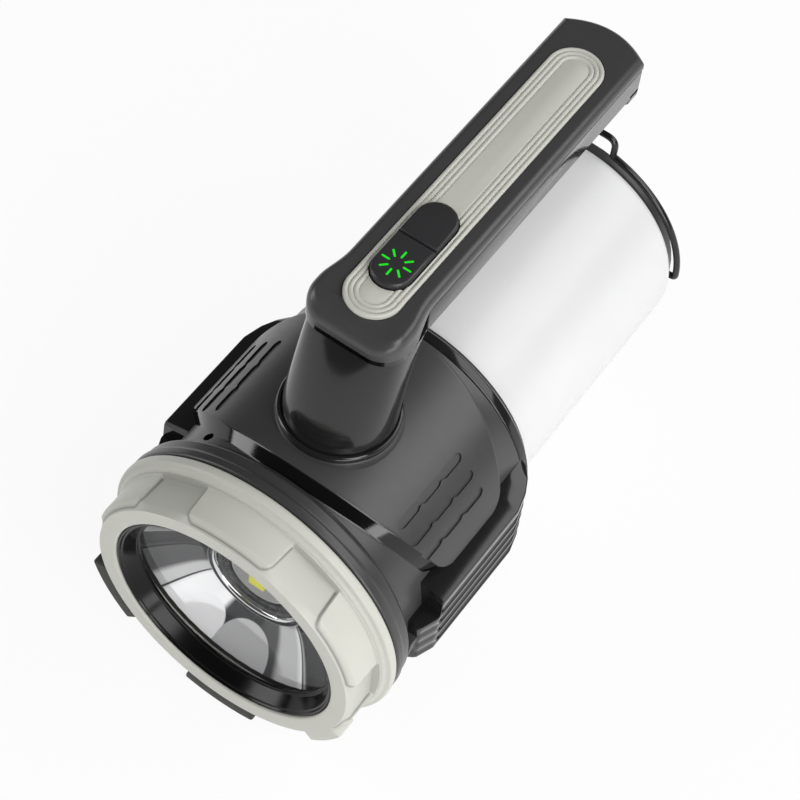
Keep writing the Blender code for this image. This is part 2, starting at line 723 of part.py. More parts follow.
def saddle_shape():
    """The raised saddle: part of a thick ring whose ends slope and lean back down its flanks."""
    inner = CORE_RADIUS - FUSE
    lean = math.tan(math.radians(SADDLE_LEAN_DEG))
    profile = [
        (inner, SADDLE_FRONT - SADDLE_FRONT_SLOPE), (SADDLE_RADIUS, SADDLE_FRONT),
        (SADDLE_RADIUS, SADDLE_REAR), (inner, SADDLE_REAR + SADDLE_REAR_SLOPE),
    ]
    shape = turned_shape(profile, SIDES_SADDLE, (0, 0, -SADDLE_DROP))
    middle = (SADDLE_FRONT + SADDLE_REAR) / 2
    for vert in shape.verts:
        height = vert.co.z + SADDLE_DROP
        drop = SADDLE_RADIUS * (1 - height / math.hypot(vert.co.x, height))
        vert.co.y += math.copysign(lean * drop, middle - vert.co.y)
    everything = shape.verts[:] + shape.edges[:] + shape.faces[:]
    bmesh.ops.bisect_plane(
        shape, geom=everything, plane_co=(0, 0, SADDLE_FOOT), plane_no=(0, 0, -1),
        clear_outer=True, dist=WELD,
    )
    rim = [edge for edge in shape.edges if edge.is_boundary]
    bmesh.ops.holes_fill(shape, edges=rim, sides=0)
    bmesh.ops.triangulate(shape, faces=shape.faces)
    return shape


def shell_screw_places():
    return [(side * SHELL_SCREW_X, y) for y in SHELL_SCREW_STATIONS for side in (-1, 1)]


def make_upper_shell(paint, lamp):
    shell = turned("upper_shell", shell_profile(CORE_RADIUS), paint["satin_black"], lamp)
    cut(shell, "upper_trim", half_space(-CORE_RADIUS - OVERRUN, GAP / 2))
    join(shell, "saddle", saddle_shape())
    station = (0, POST_STATION, 0)
    middle = CORE_BORE + CORE_WALL / 2
    join(shell, "post_boss", turned_shape(rod(BOSS_RADIUS, middle, BOSS_TOP), SIDES_LARGE, station, UP))
    bosses = bmesh.new()
    foot = DRIVER_LEVEL + DRIVER_THICKNESS + GAP
    for x, y in shell_screw_places():
        top = math.sqrt(middle ** 2 - (abs(x) + SHELL_BOSS_RADIUS) ** 2)
        add_turned(bosses, rod(SHELL_BOSS_RADIUS, foot, top), SIDES_PIN, (x, y, 0), UP)
    join(shell, "upper_bosses", bosses)
    cuts = bmesh.new()
    add_turned(cuts, rod(POST_BORE_RADIUS, 0, BOSS_TOP + OVERRUN), SIDES_SMALL, station, UP)
    for x, y in shell_screw_places():
        hole = rod(SCREW_SHAFT_RADIUS + GAP, foot - OVERRUN, SHELL_SCREW_TIP + RUN)
        add_turned(cuts, hole, SIDES_PIN, (x, y, 0), UP)
    front_level = math.sqrt(CORE_RADIUS ** 2 - FRONT_MARK_X ** 2)
    rear_level = math.sqrt(SADDLE_RADIUS ** 2 - REAR_MARK_X ** 2) - SADDLE_DROP
    for x, y, level in ((FRONT_MARK_X, FRONT_MARK_Y, front_level), (REAR_MARK_X, REAR_MARK_Y, rear_level)):
        hole = rod(MARK_HOLE_RADIUS, level - MARK_HOLE_DEPTH, level + OVERRUN)
        add_turned(cuts, hole, SIDES_PIN, (x, y, 0), UP)
    cut(shell, "upper_cuts", cuts)
    cut(shell, "link_cuts", link_shape())


def link_column():
    """A chain of long links joined by narrow necks, as one outline from its start."""
    half, neck = LINK_WIDTH / 2, LINK_NECK_WIDTH / 2
    right = []
    for k in range(LINK_COUNT):
        start, end = k * LINK_LENGTH, (k + 1) * LINK_LENGTH
        right += [(neck, start), (half, start + half), (half, end - half)]
    right.append((neck, LINK_COUNT * LINK_LENGTH))
    return right + [(-x, y) for x, y in reversed(right)]


def link_shape():
    """Shallow link pockets in three columns on each flank of the saddle."""
    shape = bmesh.new()
    outline = [(x, y + LINK_START) for x, y in link_column()]
    for side in (1, -1):
        for turn in LINK_TURNS_DEG:
            tilt = side * math.radians(turn)
            low, high = SADDLE_TOP - LINK_DEPTH, SADDLE_TOP + OVERRUN
            add_tilted_prism(shape, outline, low, high, "XY", tilt, (0, 0, -SADDLE_DROP))
    return shape


def make_lower_shell(paint, lamp):
    shell = turned("lower_shell", shell_profile(LOWER_RADIUS), paint["satin_black"], lamp)
    cut(shell, "lower_trim", half_space(-GAP / 2, LOWER_RADIUS + OVERRUN))
    half = FOOT_BLOCK_HALF_WIDTH
    top = -math.sqrt(CORE_BORE ** 2 - half ** 2)
    low, high = (-half, FOOT_BLOCK_FRONT, FOOT_BLOCK_BOTTOM), (half, FOOT_BLOCK_REAR, top)
    block = box("foot_block", low, high, paint["satin_black"], lamp)
    cut(block, "block_hollow", turned_shape(rod(CORE_BORE + CORE_WALL / 2, 0, DIFFUSER_START), SIDES_LARGE))
    boolean(shell, block, "UNION")
    low = (-PORT_BOSS_FACE, PORT_STATION - PORT_BOSS_HALF_LENGTH, PORT_LEVEL - PORT_BOSS_HALF_HEIGHT)
    high = (-PORT_BOSS_INNER, PORT_STATION + PORT_BOSS_HALF_LENGTH, PORT_LEVEL + PORT_BOSS_HALF_HEIGHT)
    join(shell, "port_boss", box_shape(low, high))
    bosses = bmesh.new()
    for x, y in shell_screw_places():
        post = rod(SHELL_BOSS_RADIUS, FOOT_BLOCK_BOTTOM + FOOT_SEAT, DRIVER_LEVEL - GAP)
        add_turned(bosses, post, SIDES_PIN, (x, y, 0), UP)
    join(shell, "lower_bosses", bosses)
    rooms = bmesh.new()
    for x, y in shell_screw_places():
        add_turned(rooms, screw_room(FOOT_BLOCK_BOTTOM, DRIVER_LEVEL + OVERRUN), SIDES_PIN, (x, y, 0), UP)
    cut(shell, "lower_screw_rooms", rooms)
    seats = bmesh.new()
    for side in (-1, 1):
        low, high = foot_box(side, FOOT_BLOCK_BOTTOM - OVERRUN, FOOT_BLOCK_BOTTOM + FOOT_SEAT, GAP)
        box_shape(low, high, seats)
    reach_y, reach_z = PORT_HALF_LENGTH + GAP, PORT_HALF_HEIGHT + GAP
    low = (-PORT_BOSS_FACE - OVERRUN, PORT_STATION - reach_y, PORT_LEVEL - reach_z)
    high = (-PORT_BOSS_FACE + PORT_DEPTH + GAP, PORT_STATION + reach_y, PORT_LEVEL + reach_z)
    box_shape(low, high, seats)
    cut(shell, "lower_seats", seats)


def foot_box(side, low, high, spare):
    """Corners of one foot strip, or of its seat with some spare room."""
    half = FOOT_WIDTH / 2 + spare
    front = FOOT_BLOCK_FRONT + FOOT_INSET - spare
    rear = FOOT_BLOCK_REAR - FOOT_INSET + spare
    return (side * FOOT_X - half, front, low), (side * FOOT_X + half, rear, high)


def make_feet(paint, lamp):
    for name, side in (("rubber_foot_left", -1), ("rubber_foot_right", 1)):
        low, high = foot_box(side, REST_LEVEL, FOOT_BLOCK_BOTTOM + FOOT_SEAT - GAP, 0)
        box(name, low, high, paint["rubber"], lamp)


def make_side_grip(name, side, paint, lamp):
    """A ribbed block over the seam between the shells. Its rear end leans forward."""
    outline = [
        (GRIP_INNER, GRIP_TOP_INNER), (GRIP_HALF_WIDTH, GRIP_TOP),
        (GRIP_HALF_WIDTH, GRIP_BOTTOM + GRIP_RIB_DEPTH), (GRIP_HALF_WIDTH - GRIP_RIB_DEPTH, GRIP_BOTTOM),
        (GRIP_INNER, GRIP_BOTTOM),
    ]
    outline = [(side * x, z) for x, z in outline]
    block = finish_mesh(name, prism_shape(outline, GRIP_FRONT, GRIP_REAR, "XZ"), paint["gloss_black"], lamp)
    cuts = bmesh.new()
    pitch = (GRIP_TOP - GRIP_BOTTOM) / (GRIP_RIB_COUNT + 1)
    narrow, wide = pitch / 8, pitch / 3
    outer = side * (GRIP_HALF_WIDTH + OVERRUN)
    floor = side * (GRIP_HALF_WIDTH - GRIP_RIB_DEPTH)
    for i in range(1, GRIP_RIB_COUNT + 1):
        z = GRIP_TOP - pitch * i
        groove = [(floor, z - narrow), (outer, z - wide), (outer, z + wide), (floor, z + narrow)]
        prism_shape(groove, GRIP_RIB_FRONT, GRIP_REAR + OVERRUN, "XZ", cuts)
    cut(block, name + "_rib_cuts", cuts)
    reach = GRIP_HALF_WIDTH + OVERRUN
    low, high = GRIP_BOTTOM - OVERRUN, GRIP_TOP_INNER + OVERRUN
    rear = [
        (GRIP_HALF_WIDTH - GRIP_REAR_NARROWING * a, GRIP_REAR - GRIP_REAR_SLANT * (1 - b))
        for a, b in GRIP_REAR_SHARES
    ]
    rear = [(reach, rear[0][1])] + rear + [(rear[-1][0], GRIP_REAR + OVERRUN), (reach, GRIP_REAR + OVERRUN)]
    cut(block, name + "_rear_trim", prism_shape([(side * x, y) for x, y in rear], low, high))
    front = [
        (GRIP_HALF_WIDTH - GRIP_FRONT_NARROWING, GRIP_FRONT - OVERRUN), (reach, GRIP_FRONT - OVERRUN),
        (reach, GRIP_FRONT + GRIP_FRONT_SLANT), (GRIP_HALF_WIDTH, GRIP_FRONT + GRIP_FRONT_SLANT),
        (GRIP_HALF_WIDTH - GRIP_FRONT_NARROWING, GRIP_FRONT),
    ]
    trims = prism_shape([(side * x, y) for x, y in front], low, high)
    cut(block, name + "_front_trim", trims)
    inner, outer = sorted((side * (GRIP_INNER - OVERRUN), side * reach))
    step = box_shape((inner, GRIP_FRONT - OVERRUN, GRIP_STEP_TOP), (outer, GRIP_RIB_FRONT, high))
    cut(block, name + "_front_step", step)
    core = turned_shape(rod(CORE_RADIUS + GAP, 0, GRIP_REAR + OVERRUN), SIDES_LARGE)
    cut(block, name + "_core_room", core)
    half_disc = arc((0, 0), LOWER_RADIUS + GAP, 180, 360, SIDES_LARGE // 2)
    cut(block, name + "_lower_room", prism_shape(half_disc, 0, GRIP_REAR + OVERRUN, "XZ"))


def screw_profile(head, tip):
    """A pan-head screw from the outer face of its head to its tip."""
    under = head + math.copysign(SCREW_HEAD_HEIGHT, tip - head)
    return [
        (0, head), (SCREW_HEAD_RADIUS, head), (SCREW_HEAD_RADIUS, under),
        (SCREW_SHAFT_RADIUS, under), (SCREW_SHAFT_RADIUS, tip), (0, tip),
    ]


def screw_room(face, end):
    """Room for a screw that enters at a face: a wide part for its head, then a bore to its end."""
    head, shaft = SCREW_HEAD_RADIUS + GAP, SCREW_SHAFT_RADIUS + GAP
    outside = face - math.copysign(OVERRUN, end - face)
    step = face + math.copysign(SCREW_HEAD_HEIGHT + GAP, end - face)
    return [(0, outside), (head, outside), (head, step), (shaft, step), (shaft, end), (0, end)]


def cap_screw_places():
    turn = 360 / CAP_SCREW_COUNT
    return [turned_about_axis((0, CAP_SCREW_CIRCLE), i * turn) for i in range(CAP_SCREW_COUNT)]


def make_screws(paint, lamp):
    for i, (x, y) in enumerate(shell_screw_places(), 1):
        profile = screw_profile(FOOT_BLOCK_BOTTOM, SHELL_SCREW_TIP)
        turned(f"shell_screw_{i}", profile, paint["steel"], lamp, SIDES_PIN, (x, y, 0), UP)
    for i, y in enumerate(HANDLE_SCREW_STATIONS, 1):
        profile = screw_profile(ARM_BOTTOM, HANDLE_SCREW_TIP)
        turned(f"handle_screw_{i}", profile, paint["steel"], lamp, SIDES_PIN, (0, y, 0), UP)
    for i, (x, z) in enumerate(cap_screw_places(), 1):
        profile = screw_profile(CAP_END, CAP_END - SCREW_HEAD_HEIGHT - CAP_SCREW_LENGTH)
        turned(f"cap_screw_{i}", profile, paint["steel"], lamp, SIDES_PIN, (x, 0, z))


# Lantern


def make_rear_collar(paint, lamp):
    start = BODY_END + GAP
    end = start + REAR_COLLAR_LENGTH
    bore = DIFFUSER_RADIUS + RUN
    profile = [
        (bore, start), (REAR_RADIUS, start), (REAR_RADIUS, end - REAR_COLLAR_EDGE),
        (REAR_RADIUS - REAR_COLLAR_EDGE, end), (bore, end),
    ]
    turned("rear_collar", profile, paint["gloss_black"], lamp)
    seal = ring(bore, SEAL_RING_RADIUS, end + GAP, end + GAP + SEAL_RING_WIDTH)
    turned("diffuser_seal", seal, paint["rubber"], lamp)


def make_diffuser(paint, lamp):
    wall, edge = DIFFUSER_WALL, DIFFUSER_EDGE
    inner = DIFFUSER_END_RADIUS - wall
    corner = arc((DIFFUSER_END_RADIUS - edge, DIFFUSER_END - edge), edge, 0, 90, DIFFUSER_EDGE_STEPS)
    profile = [
        (0, DIFFUSER_END - wall), (inner - edge, DIFFUSER_END - wall), (inner, DIFFUSER_END - edge - wall),
        (DIFFUSER_RADIUS - wall, DIFFUSER_START), (DIFFUSER_RADIUS, DIFFUSER_START),
    ]
    turned("diffuser", profile + corner + [(0, DIFFUSER_END)], paint["opal"], lamp)


def make_lantern_light(paint, lamp):
    board = rod(LANTERN_BOARD_RADIUS, LANTERN_BOARD_START, LANTERN_BOARD_END)
    turned("lantern_board", board, paint["board"], lamp)
    start = LANTERN_BOARD_END + GAP
    leds = ring(LED_RING_BORE, LED_RING_RADIUS, start, start + LED_RING_THICKNESS)
    turned("lantern_led_ring", leds, paint["phosphor"], lamp, SIDES_SMALL)
    spreader = [
        (0, start), (SPREADER_BASE_RADIUS, start), (SPREADER_BASE_RADIUS, start + SPREADER_BASE_HEIGHT),
        (SPREADER_TIP_RADIUS, start + SPREADER_LENGTH), (0, start + SPREADER_LENGTH),
    ]
    turned("light_spreader", spreader, paint["white"], lamp, SIDES_SMALL)


def make_rear_cap(paint, lamp):
    floor = CAP_END - CAP_DISH_DEPTH
    profile = [
        (0, CAP_START), (CAP_RADIUS, CAP_START), (CAP_RADIUS, CAP_END - CAP_EDGE),
        (CAP_RADIUS - CAP_EDGE, CAP_END), (CAP_DISH_RADIUS, CAP_END),
        (CAP_DISH_RADIUS - CAP_DISH_DEPTH, floor), (0, floor),
    ]
    cap = turned("rear_cap", profile, paint["satin_black"], lamp)
    rooms = bmesh.new()
    tip = CAP_END - SCREW_HEAD_HEIGHT - GAP - CAP_SCREW_LENGTH
    for x, z in cap_screw_places():
        add_turned(rooms, screw_room(CAP_END, tip), SIDES_PIN, (x, 0, z))
    cut(cap, "cap_screw_rooms", rooms)
    bores = bmesh.new()
    inner = BAIL_RADIUS - BAIL_TENON_LENGTH - GAP
    for side in (-1, 1):
        bore = rod(BAIL_WIRE + GAP, side * inner, side * (CAP_RADIUS + OVERRUN))
        add_turned(bores, bore, SIDES_PIN, (0, CAP_START + BAIL_LIFT, 0), ACROSS)
    cut(cap, "bail_bores", bores)


def bail_route():
    """Centre line of the wire in its own plane: tenon, arc, hump, arc, tenon."""
    hump_foot = math.degrees(math.acos(BAIL_HUMP_HALF_WIDTH / BAIL_RADIUS))
    right = arc((0, 0), BAIL_RADIUS, BAIL_FOOT_TURN_DEG, hump_foot, BAIL_ARC_STEPS)
    centre = (BAIL_HUMP_HALF_WIDTH - BAIL_HUMP_CORNER, BAIL_HUMP_TOP - BAIL_HUMP_CORNER)
    corner = arc(centre, BAIL_HUMP_CORNER, 0, 90, BAIL_CORNER_STEPS)
    half = [(BAIL_RADIUS - BAIL_TENON_LENGTH, 0), (BAIL_RADIUS, 0)] + right + corner
    return half + [(-x, z) for x, z in reversed(half)]


def make_bail(paint, lamp):
    """The wire hook, on its own empty at the pivot axis."""
    hinge = empty_at("bail_pivot", (0, CAP_START + BAIL_LIFT, 0), lamp)
    curve = bpy.data.curves.new("bail", "CURVE")
    curve.dimensions = "3D"
    curve.bevel_depth = BAIL_WIRE
    curve.bevel_resolution = 2
    curve.use_fill_caps = True
    spline = curve.splines.new("POLY")
    route = bail_route()
    spline.points.add(len(route) - 1)
    for point, (x, z) in zip(spline.points, route):
        point.co = (x, 0, z, 1)
    curve.materials.append(paint["gloss_black"])
    wire = bpy.data.objects.new("bail", curve)
    bpy.context.collection.objects.link(wire)
    wire.parent = hinge


# Handle


def post_ring_points(height_share, centre_share, width_share, depth_share, power):
    low = BOSS_TOP + GAP
    level = low + (POST_TOP - low) * height_share
    middle = POST_STATION + (HEAD_CENTRE - POST_STATION) * centre_share
    half_width = POST_FOOT_RADIUS + (HEAD_HALF_WIDTH - POST_FOOT_RADIUS) * width_share
    half_depth = POST_FOOT_RADIUS + (HEAD_HALF_DEPTH - POST_FOOT_RADIUS) * depth_share
    points = []
    for i in range(POST_SIDES):
        a = math.tau * i / POST_SIDES
        c, s = math.cos(a), math.sin(a)
        x = half_width * math.copysign(abs(c) ** (2 / power), c)
        y = half_depth * math.copysign(abs(s) ** (2 / power), s)
        points.append(Vector((x, middle + y, level)))
    return points


def post_shape():
    """The post is lofted from a round foot to a squarer head that leans back."""
    shape = bmesh.new()
    rings = []
    for shares in POST_SECTION_SHARES:
        verts = [shape.verts.new(point) for point in post_ring_points(*shares)]
        rings.append([shape.edges.new(pair) for pair in zip(verts, verts[1:] + verts[:1])])
    for end in (rings[0], rings[-1]):
        shape.faces.new([edge.verts[0] for edge in end])
    for below, above in zip(rings, rings[1:]):
        bmesh.ops.bridge_loops(shape, edges=below + above)
    return shape


def gusset_points():
    """The underside sweeps from the back of the post to the arm."""
    run = ARM_GUSSET_END - ARM_GUSSET_START
    rise = ARM_BOTTOM - ARM_GUSSET_LOW
    return [(ARM_GUSSET_START + run * a, ARM_GUSSET_LOW + rise * b) for a, b in GUSSET_SHARES]


def handle_bores():
    """The wire way up the post, then one set back that opens into the switch pocket."""
    low = rod(POST_BORE_RADIUS, BOSS_TOP - OVERRUN, ARM_GUSSET_LOW)
    high = rod(POST_BORE_RADIUS, ARM_GUSSET_LOW - OVERRUN, ARM_BOTTOM + ARM_FLOOR + OVERRUN)
    bend = (POST_STATION + SWITCH_POCKET[0] + POST_BORE_RADIUS) / 2
    return ((low, POST_STATION), (high, bend))


def make_handle_frame(paint, lamp):
    """Post, arm channel and tip lip are one moulding."""
    frame = finish_mesh("handle_frame", post_shape(), paint["gloss_black"], lamp)
    lip_front = ARM_LOWER_TIP - ARM_LIP_LENGTH
    lip_bottom = ARM_BOTTOM - ARM_LIP_DROP
    seam = ARM_SEAM - GAP
    profile = [(HEAD_CENTRE, ARM_GUSSET_LOW)] + gusset_points() + [
        (lip_front, ARM_BOTTOM), (lip_front + ARM_LIP_TAPER, lip_bottom),
        (ARM_LOWER_TIP - ARM_LIP_TAPER, lip_bottom), (ARM_LOWER_TIP, lip_bottom + ARM_LIP_TAPER),
        (ARM_LOWER_TIP, seam), (COVER_NECK_AT, seam), (COVER_HEAD_END, POST_TOP), (HEAD_CENTRE, POST_TOP),
    ]
    half = ARM_LOWER_HALF_WIDTH
    join(frame, "arm_channel", prism_shape(profile, -half, half, "YZ"))
    cuts = bmesh.new()
    for front, rear in (SWITCH_POCKET, EMPTY_POCKET):
        low = (-POCKET_HALF_WIDTH, front, ARM_BOTTOM + ARM_FLOOR)
        box_shape(low, (POCKET_HALF_WIDTH, rear, ARM_SEAM + OVERRUN), cuts)
    cut(frame, "arm_pockets", cuts)
    for i, (bore, y) in enumerate(handle_bores(), 1):
        cut(frame, f"wire_way_{i}", turned_shape(bore, SIDES_SMALL, (0, y, 0), UP))
    rooms = bmesh.new()
    for y in HANDLE_SCREW_STATIONS:
        add_turned(rooms, screw_room(ARM_BOTTOM, ARM_SEAM + OVERRUN), SIDES_PIN, (0, y, 0), UP)
    cut(frame, "handle_screw_rooms", rooms)


def make_post_ring(paint, lamp):
    outer = BOSS_RADIUS - GAP
    low = BOSS_TOP + GAP
    high = low + RING_HEIGHT
    profile = [
        (RING_BORE_RADIUS, low), (outer, low), (outer, high - RING_EDGE),
        (outer - RING_EDGE, high), (RING_BORE_RADIUS, high),
    ]
    turned("post_ring", profile, paint["gloss_black"], lamp, SIDES_LARGE, (0, POST_STATION, 0), UP)


def cover_outline():
    """Plan of the top cover: rounded head, slight neck, long arm and a bulged tip."""
    corner, head = COVER_HEAD_CORNER, COVER_HEAD_HALF_WIDTH
    centre = (head - corner, COVER_HEAD_FRONT + corner)
    right = arc(centre, corner, 270, 360, COVER_HEAD_CORNER_STEPS)
    right += [(head, COVER_HEAD_END), (ARM_HALF_WIDTH, COVER_NECK_AT), (ARM_HALF_WIDTH, ARM_TIP_SIDE)]
    tip = []
    for i in range(1, ARM_TIP_STEPS):
        share = 1 - 2 * i / ARM_TIP_STEPS
        tip.append((ARM_HALF_WIDTH * share, ARM_TIP_SIDE + ARM_TIP_BULGE * (1 - share ** 2)))
    return right + tip + [(-x, y) for x, y in reversed(right)]


def make_handle_cover(paint, lamp):
    shape = prism_shape(cover_outline(), POST_TOP + GAP, ARM_TOP)
    round_top(shape, ARM_TOP, ARM_EDGE, ARM_EDGE_STEPS)
    cover = finish_mesh("handle_cover", shape, paint["satin_black"], lamp)
    reach = COVER_HEAD_HALF_WIDTH + OVERRUN
    tip = ARM_TIP_SIDE + ARM_TIP_BULGE + OVERRUN
    under = [
        (COVER_HEAD_END, POST_TOP - OVERRUN), (COVER_HEAD_END, POST_TOP + GAP),
        (COVER_NECK_AT, ARM_SEAM), (tip, ARM_SEAM), (tip, POST_TOP - OVERRUN),
    ]
    cut(cover, "cover_under_cut", prism_shape(under, -reach, reach, "YZ"))
    cuts = bmesh.new()
    for front, rear in (SWITCH_POCKET, EMPTY_POCKET):
        low = (-POCKET_HALF_WIDTH, front, POST_TOP - OVERRUN)
        box_shape(low, (POCKET_HALF_WIDTH, rear, INLAY_FLOOR - COVER_ROOF), cuts)
    cut(cover, "cover_pockets", cuts)
    seat = stadium(INLAY_HALF_WIDTH + GAP, INLAY_FRONT - GAP, INLAY_REAR + GAP)
    cut(cover, "inlay_seat", prism_shape(seat, INLAY_FLOOR, ARM_TOP + OVERRUN))
    cut(cover, "cover_window", button_window())
    cuts = bmesh.new()
    for y in HANDLE_SCREW_STATIONS:
        hole = rod(SCREW_SHAFT_RADIUS + GAP, ARM_SEAM - OVERRUN, HANDLE_SCREW_TIP + GAP)
        add_turned(cuts, hole, SIDES_PIN, (0, y, 0), UP)
    cut(cover, "cover_screw_bores", cuts)


def button_window():
    hole = stadium(BUTTON_HALF_WIDTH + RUN, BUTTON_FRONT - RUN, BUTTON_REAR + RUN)
    return prism_shape(hole, INLAY_FLOOR - COVER_ROOF - OVERRUN, BUTTON_TOP)


def make_inlay(paint, lamp):
    """Pale strip with three raised ridges round a flat middle panel."""
    outline = stadium(INLAY_HALF_WIDTH, INLAY_FRONT, INLAY_REAR)
    shape = prism_shape(outline, INLAY_FLOOR + GAP, ARM_TOP + INLAY_PROUD)
    bmesh.ops.recalc_face_normals(shape, faces=shape.faces)
    top = max(shape.faces, key=lambda face: face.calc_center_median().z)
    half = INLAY_GROOVE / 2
    for ridge in range(INLAY_RIDGE_COUNT):
        last = ridge == INLAY_RIDGE_COUNT - 1
        rise = INLAY_GROOVE_DEPTH / 2 if last else INLAY_GROOVE_DEPTH
        bmesh.ops.inset_region(shape, faces=[top], thickness=INLAY_RIDGE)
        bmesh.ops.inset_region(shape, faces=[top], thickness=half, depth=-INLAY_GROOVE_DEPTH)
        bmesh.ops.inset_region(shape, faces=[top], thickness=half, depth=rise)
    strip = finish_mesh("grip_inlay", shape, paint["pale_grey"], lamp)
    cut(strip, "inlay_window", button_window())


def make_button(name, near, split, paint, carrier):
    """A push button whose skirt keeps it under the cover. It moves with its carrier."""
    x, y, z = carrier.location
    base = BUTTON_BOTTOM - z
    outline = half_stadium(BUTTON_HALF_WIDTH, BUTTON_FRONT, BUTTON_REAR, split, near)
    shape = prism_shape([(a - x, b - y) for a, b in outline], base, BUTTON_TOP - z)
    round_top(shape, BUTTON_TOP - z, BUTTON_EDGE, 2)
    button = finish_mesh(name, shape, paint["satin_black"], carrier)
    skirt = BUTTON_SKIRT
    flange = half_stadium(BUTTON_HALF_WIDTH + skirt, BUTTON_FRONT - skirt, BUTTON_REAR + skirt, split, near)
    outline = [(a - x, b - y) for a, b in flange]
    join(button, name + "_skirt", prism_shape(outline, base, base + BUTTON_SKIRT_THICKNESS))
    return button


def ray_shape(spare, low, high):
    """Short bars round a point, as on a sun symbol."""
    shape = bmesh.new()
    half = ICON_RAY_WIDTH / 2 + spare
    near, far = ICON_RAY_START - spare, ICON_RAY_END + spare
    for i in range(ICON_RAY_COUNT):
        corners = [(near, -half), (far, -half), (far, half), (near, half)]
        outline = [turned_about_axis(corner, (i + 0.5) * 360 / ICON_RAY_COUNT) for corner in corners]
        prism_shape(outline, low, high, "XY", shape)
    return shape


def make_buttons(paint, lamp):
    front = empty_at("power_button_slide", (0, ICON_STATION, BUTTON_TOP), lamp)
    rear = empty_at("mode_button_slide", (0, MODE_STATION, BUTTON_TOP), lamp)
    power = make_button("power_button", True, BUTTON_SPLIT - GAP / 2, paint, front)
    make_button("mode_button", False, BUTTON_SPLIT + GAP / 2, paint, rear)
    chamber = rod(ICON_HUB_RADIUS + GAP, BUTTON_BOTTOM - BUTTON_TOP - OVERRUN, -ICON_SKIN)
    cut(power, "icon_chamber", turned_shape(chamber, SIDES_SMALL, (0, 0, 0), UP))
    cut(power, "icon_slots", ray_shape(GAP, -ICON_SKIN - OVERRUN, OVERRUN))
    hub = rod(ICON_HUB_RADIUS, -ICON_SKIN - GAP - ICON_HUB_THICKNESS, -ICON_SKIN - GAP)
    guide = turned("icon_light_guide", hub, paint["icon_green"], front, SIDES_SMALL, (0, 0, 0), UP)
    join(guide, "icon_rays", ray_shape(0, -ICON_SKIN - FUSE, 0))


def make_switches(paint, lamp):
    half = SWITCH_BOARD_HALF_WIDTH
    start, end = SWITCH_POCKET[0] + GAP, SWITCH_POCKET[1] - GAP
    low = SWITCH_BOARD_BOTTOM
    top = low + SWITCH_BOARD_THICKNESS
    box("button_board", (-half, start, low), (half, end, top), paint["board"], lamp)
    size = SWITCH_HALF
    top = SWITCH_FOOT + SWITCH_HEIGHT
    for name, y in (("power_switch", ICON_STATION), ("mode_switch", MODE_STATION)):
        box(name, (-size, y - size, SWITCH_FOOT), (size, y + size, top), paint["steel"], lamp)
    low, top = MEMBRANE_BOTTOM, MEMBRANE_BOTTOM + MEMBRANE_THICKNESS
    box("button_membrane", (-half, start, low), (half, end, top), paint["rubber"], lamp)


# Power


def make_cells(paint, lamp):
    half = CELL_LENGTH / 2
    shoulder = half - CELL_CAP_LENGTH
    profile = [
        (0, -half), (CELL_RADIUS, -half), (CELL_RADIUS, shoulder),
        (CELL_CAP_RADIUS, shoulder), (CELL_CAP_RADIUS, half), (0, half),
    ]
    for i, y in enumerate(CELL_STATIONS, 1):
        place = (0, y, CELL_LEVEL)
        turned(f"battery_cell_{i}", profile, paint["alloy"], lamp, SIDES_SMALL, place, ACROSS)


def make_battery_tray(paint, lamp):
    """A cradle cut by the cells, on four legs that reach the lower shell."""
    half = CELL_LENGTH / 2 - TRAY_INSET
    front = CELL_STATIONS[0] - CELL_RADIUS
    rear = CELL_STATIONS[-1] + CELL_RADIUS
    low = CELL_LEVEL - CELL_RADIUS - TRAY_WALL
    tray = box("battery_tray", (-half, front, low), (half, rear, low + TRAY_DEPTH), paint["white"], lamp)
    reach = half + OVERRUN
    for i, y in enumerate(CELL_STATIONS, 1):
        profile = rod(CELL_RADIUS + GAP, -reach, reach)
        cut(tray, f"cell_groove_{i}", turned_shape(profile, SIDES_SMALL, (0, y, CELL_LEVEL), ACROSS))
    legs = bmesh.new()
    x = half - TRAY_LEG_INSET
    floor = RUN - math.sqrt(CORE_BORE ** 2 - (x + TRAY_LEG_RADIUS) ** 2)
    for side in (-1, 1):
        for y in (front + TRAY_LEG_INSET, rear - TRAY_LEG_INSET):
            leg = rod(TRAY_LEG_RADIUS, floor, low + TRAY_WALL / 2)
            add_turned(legs, leg, SIDES_PIN, (side * x, y, 0), UP)
    join(tray, "tray_legs", legs)


def make_driver(paint, lamp):
    """The board is clamped at its corners between the shells' screw bosses."""
    front = SHELL_SCREW_STATIONS[0] - SHELL_BOSS_RADIUS - DRIVER_MARGIN
    rear = SHELL_SCREW_STATIONS[-1] + SHELL_BOSS_RADIUS + DRIVER_MARGIN
    top = DRIVER_LEVEL + DRIVER_THICKNESS
    half = DRIVER_HALF_WIDTH
    board = box("driver_board", (-half, front, DRIVER_LEVEL), (half, rear, top), paint["board"], lamp)
    holes = bmesh.new()
    for x, y in shell_screw_places():
        hole = rod(SCREW_SHAFT_RADIUS + GAP, DRIVER_LEVEL - OVERRUN, top + OVERRUN)
        add_turned(holes, hole, SIDES_PIN, (x, y, 0), UP)
    cut(board, "driver_holes", holes)
    foot = top + GAP
    coil = rod(DRIVER_COIL_RADIUS, foot, foot + DRIVER_COIL_HEIGHT)
    place = (-DRIVER_PART_X, CELL_STATIONS[0], 0)
    turned("driver_coil", coil, paint["gloss_black"], lamp, SIDES_SMALL, place, UP)
    size, x, y = DRIVER_CHIP_HALF, DRIVER_PART_X, CELL_STATIONS[-1]
    low, high = (x - size, y - size, foot), (x + size, y + size, foot + DRIVER_CHIP_HEIGHT)
    box("driver_chip", low, high, paint["gloss_black"], lamp)


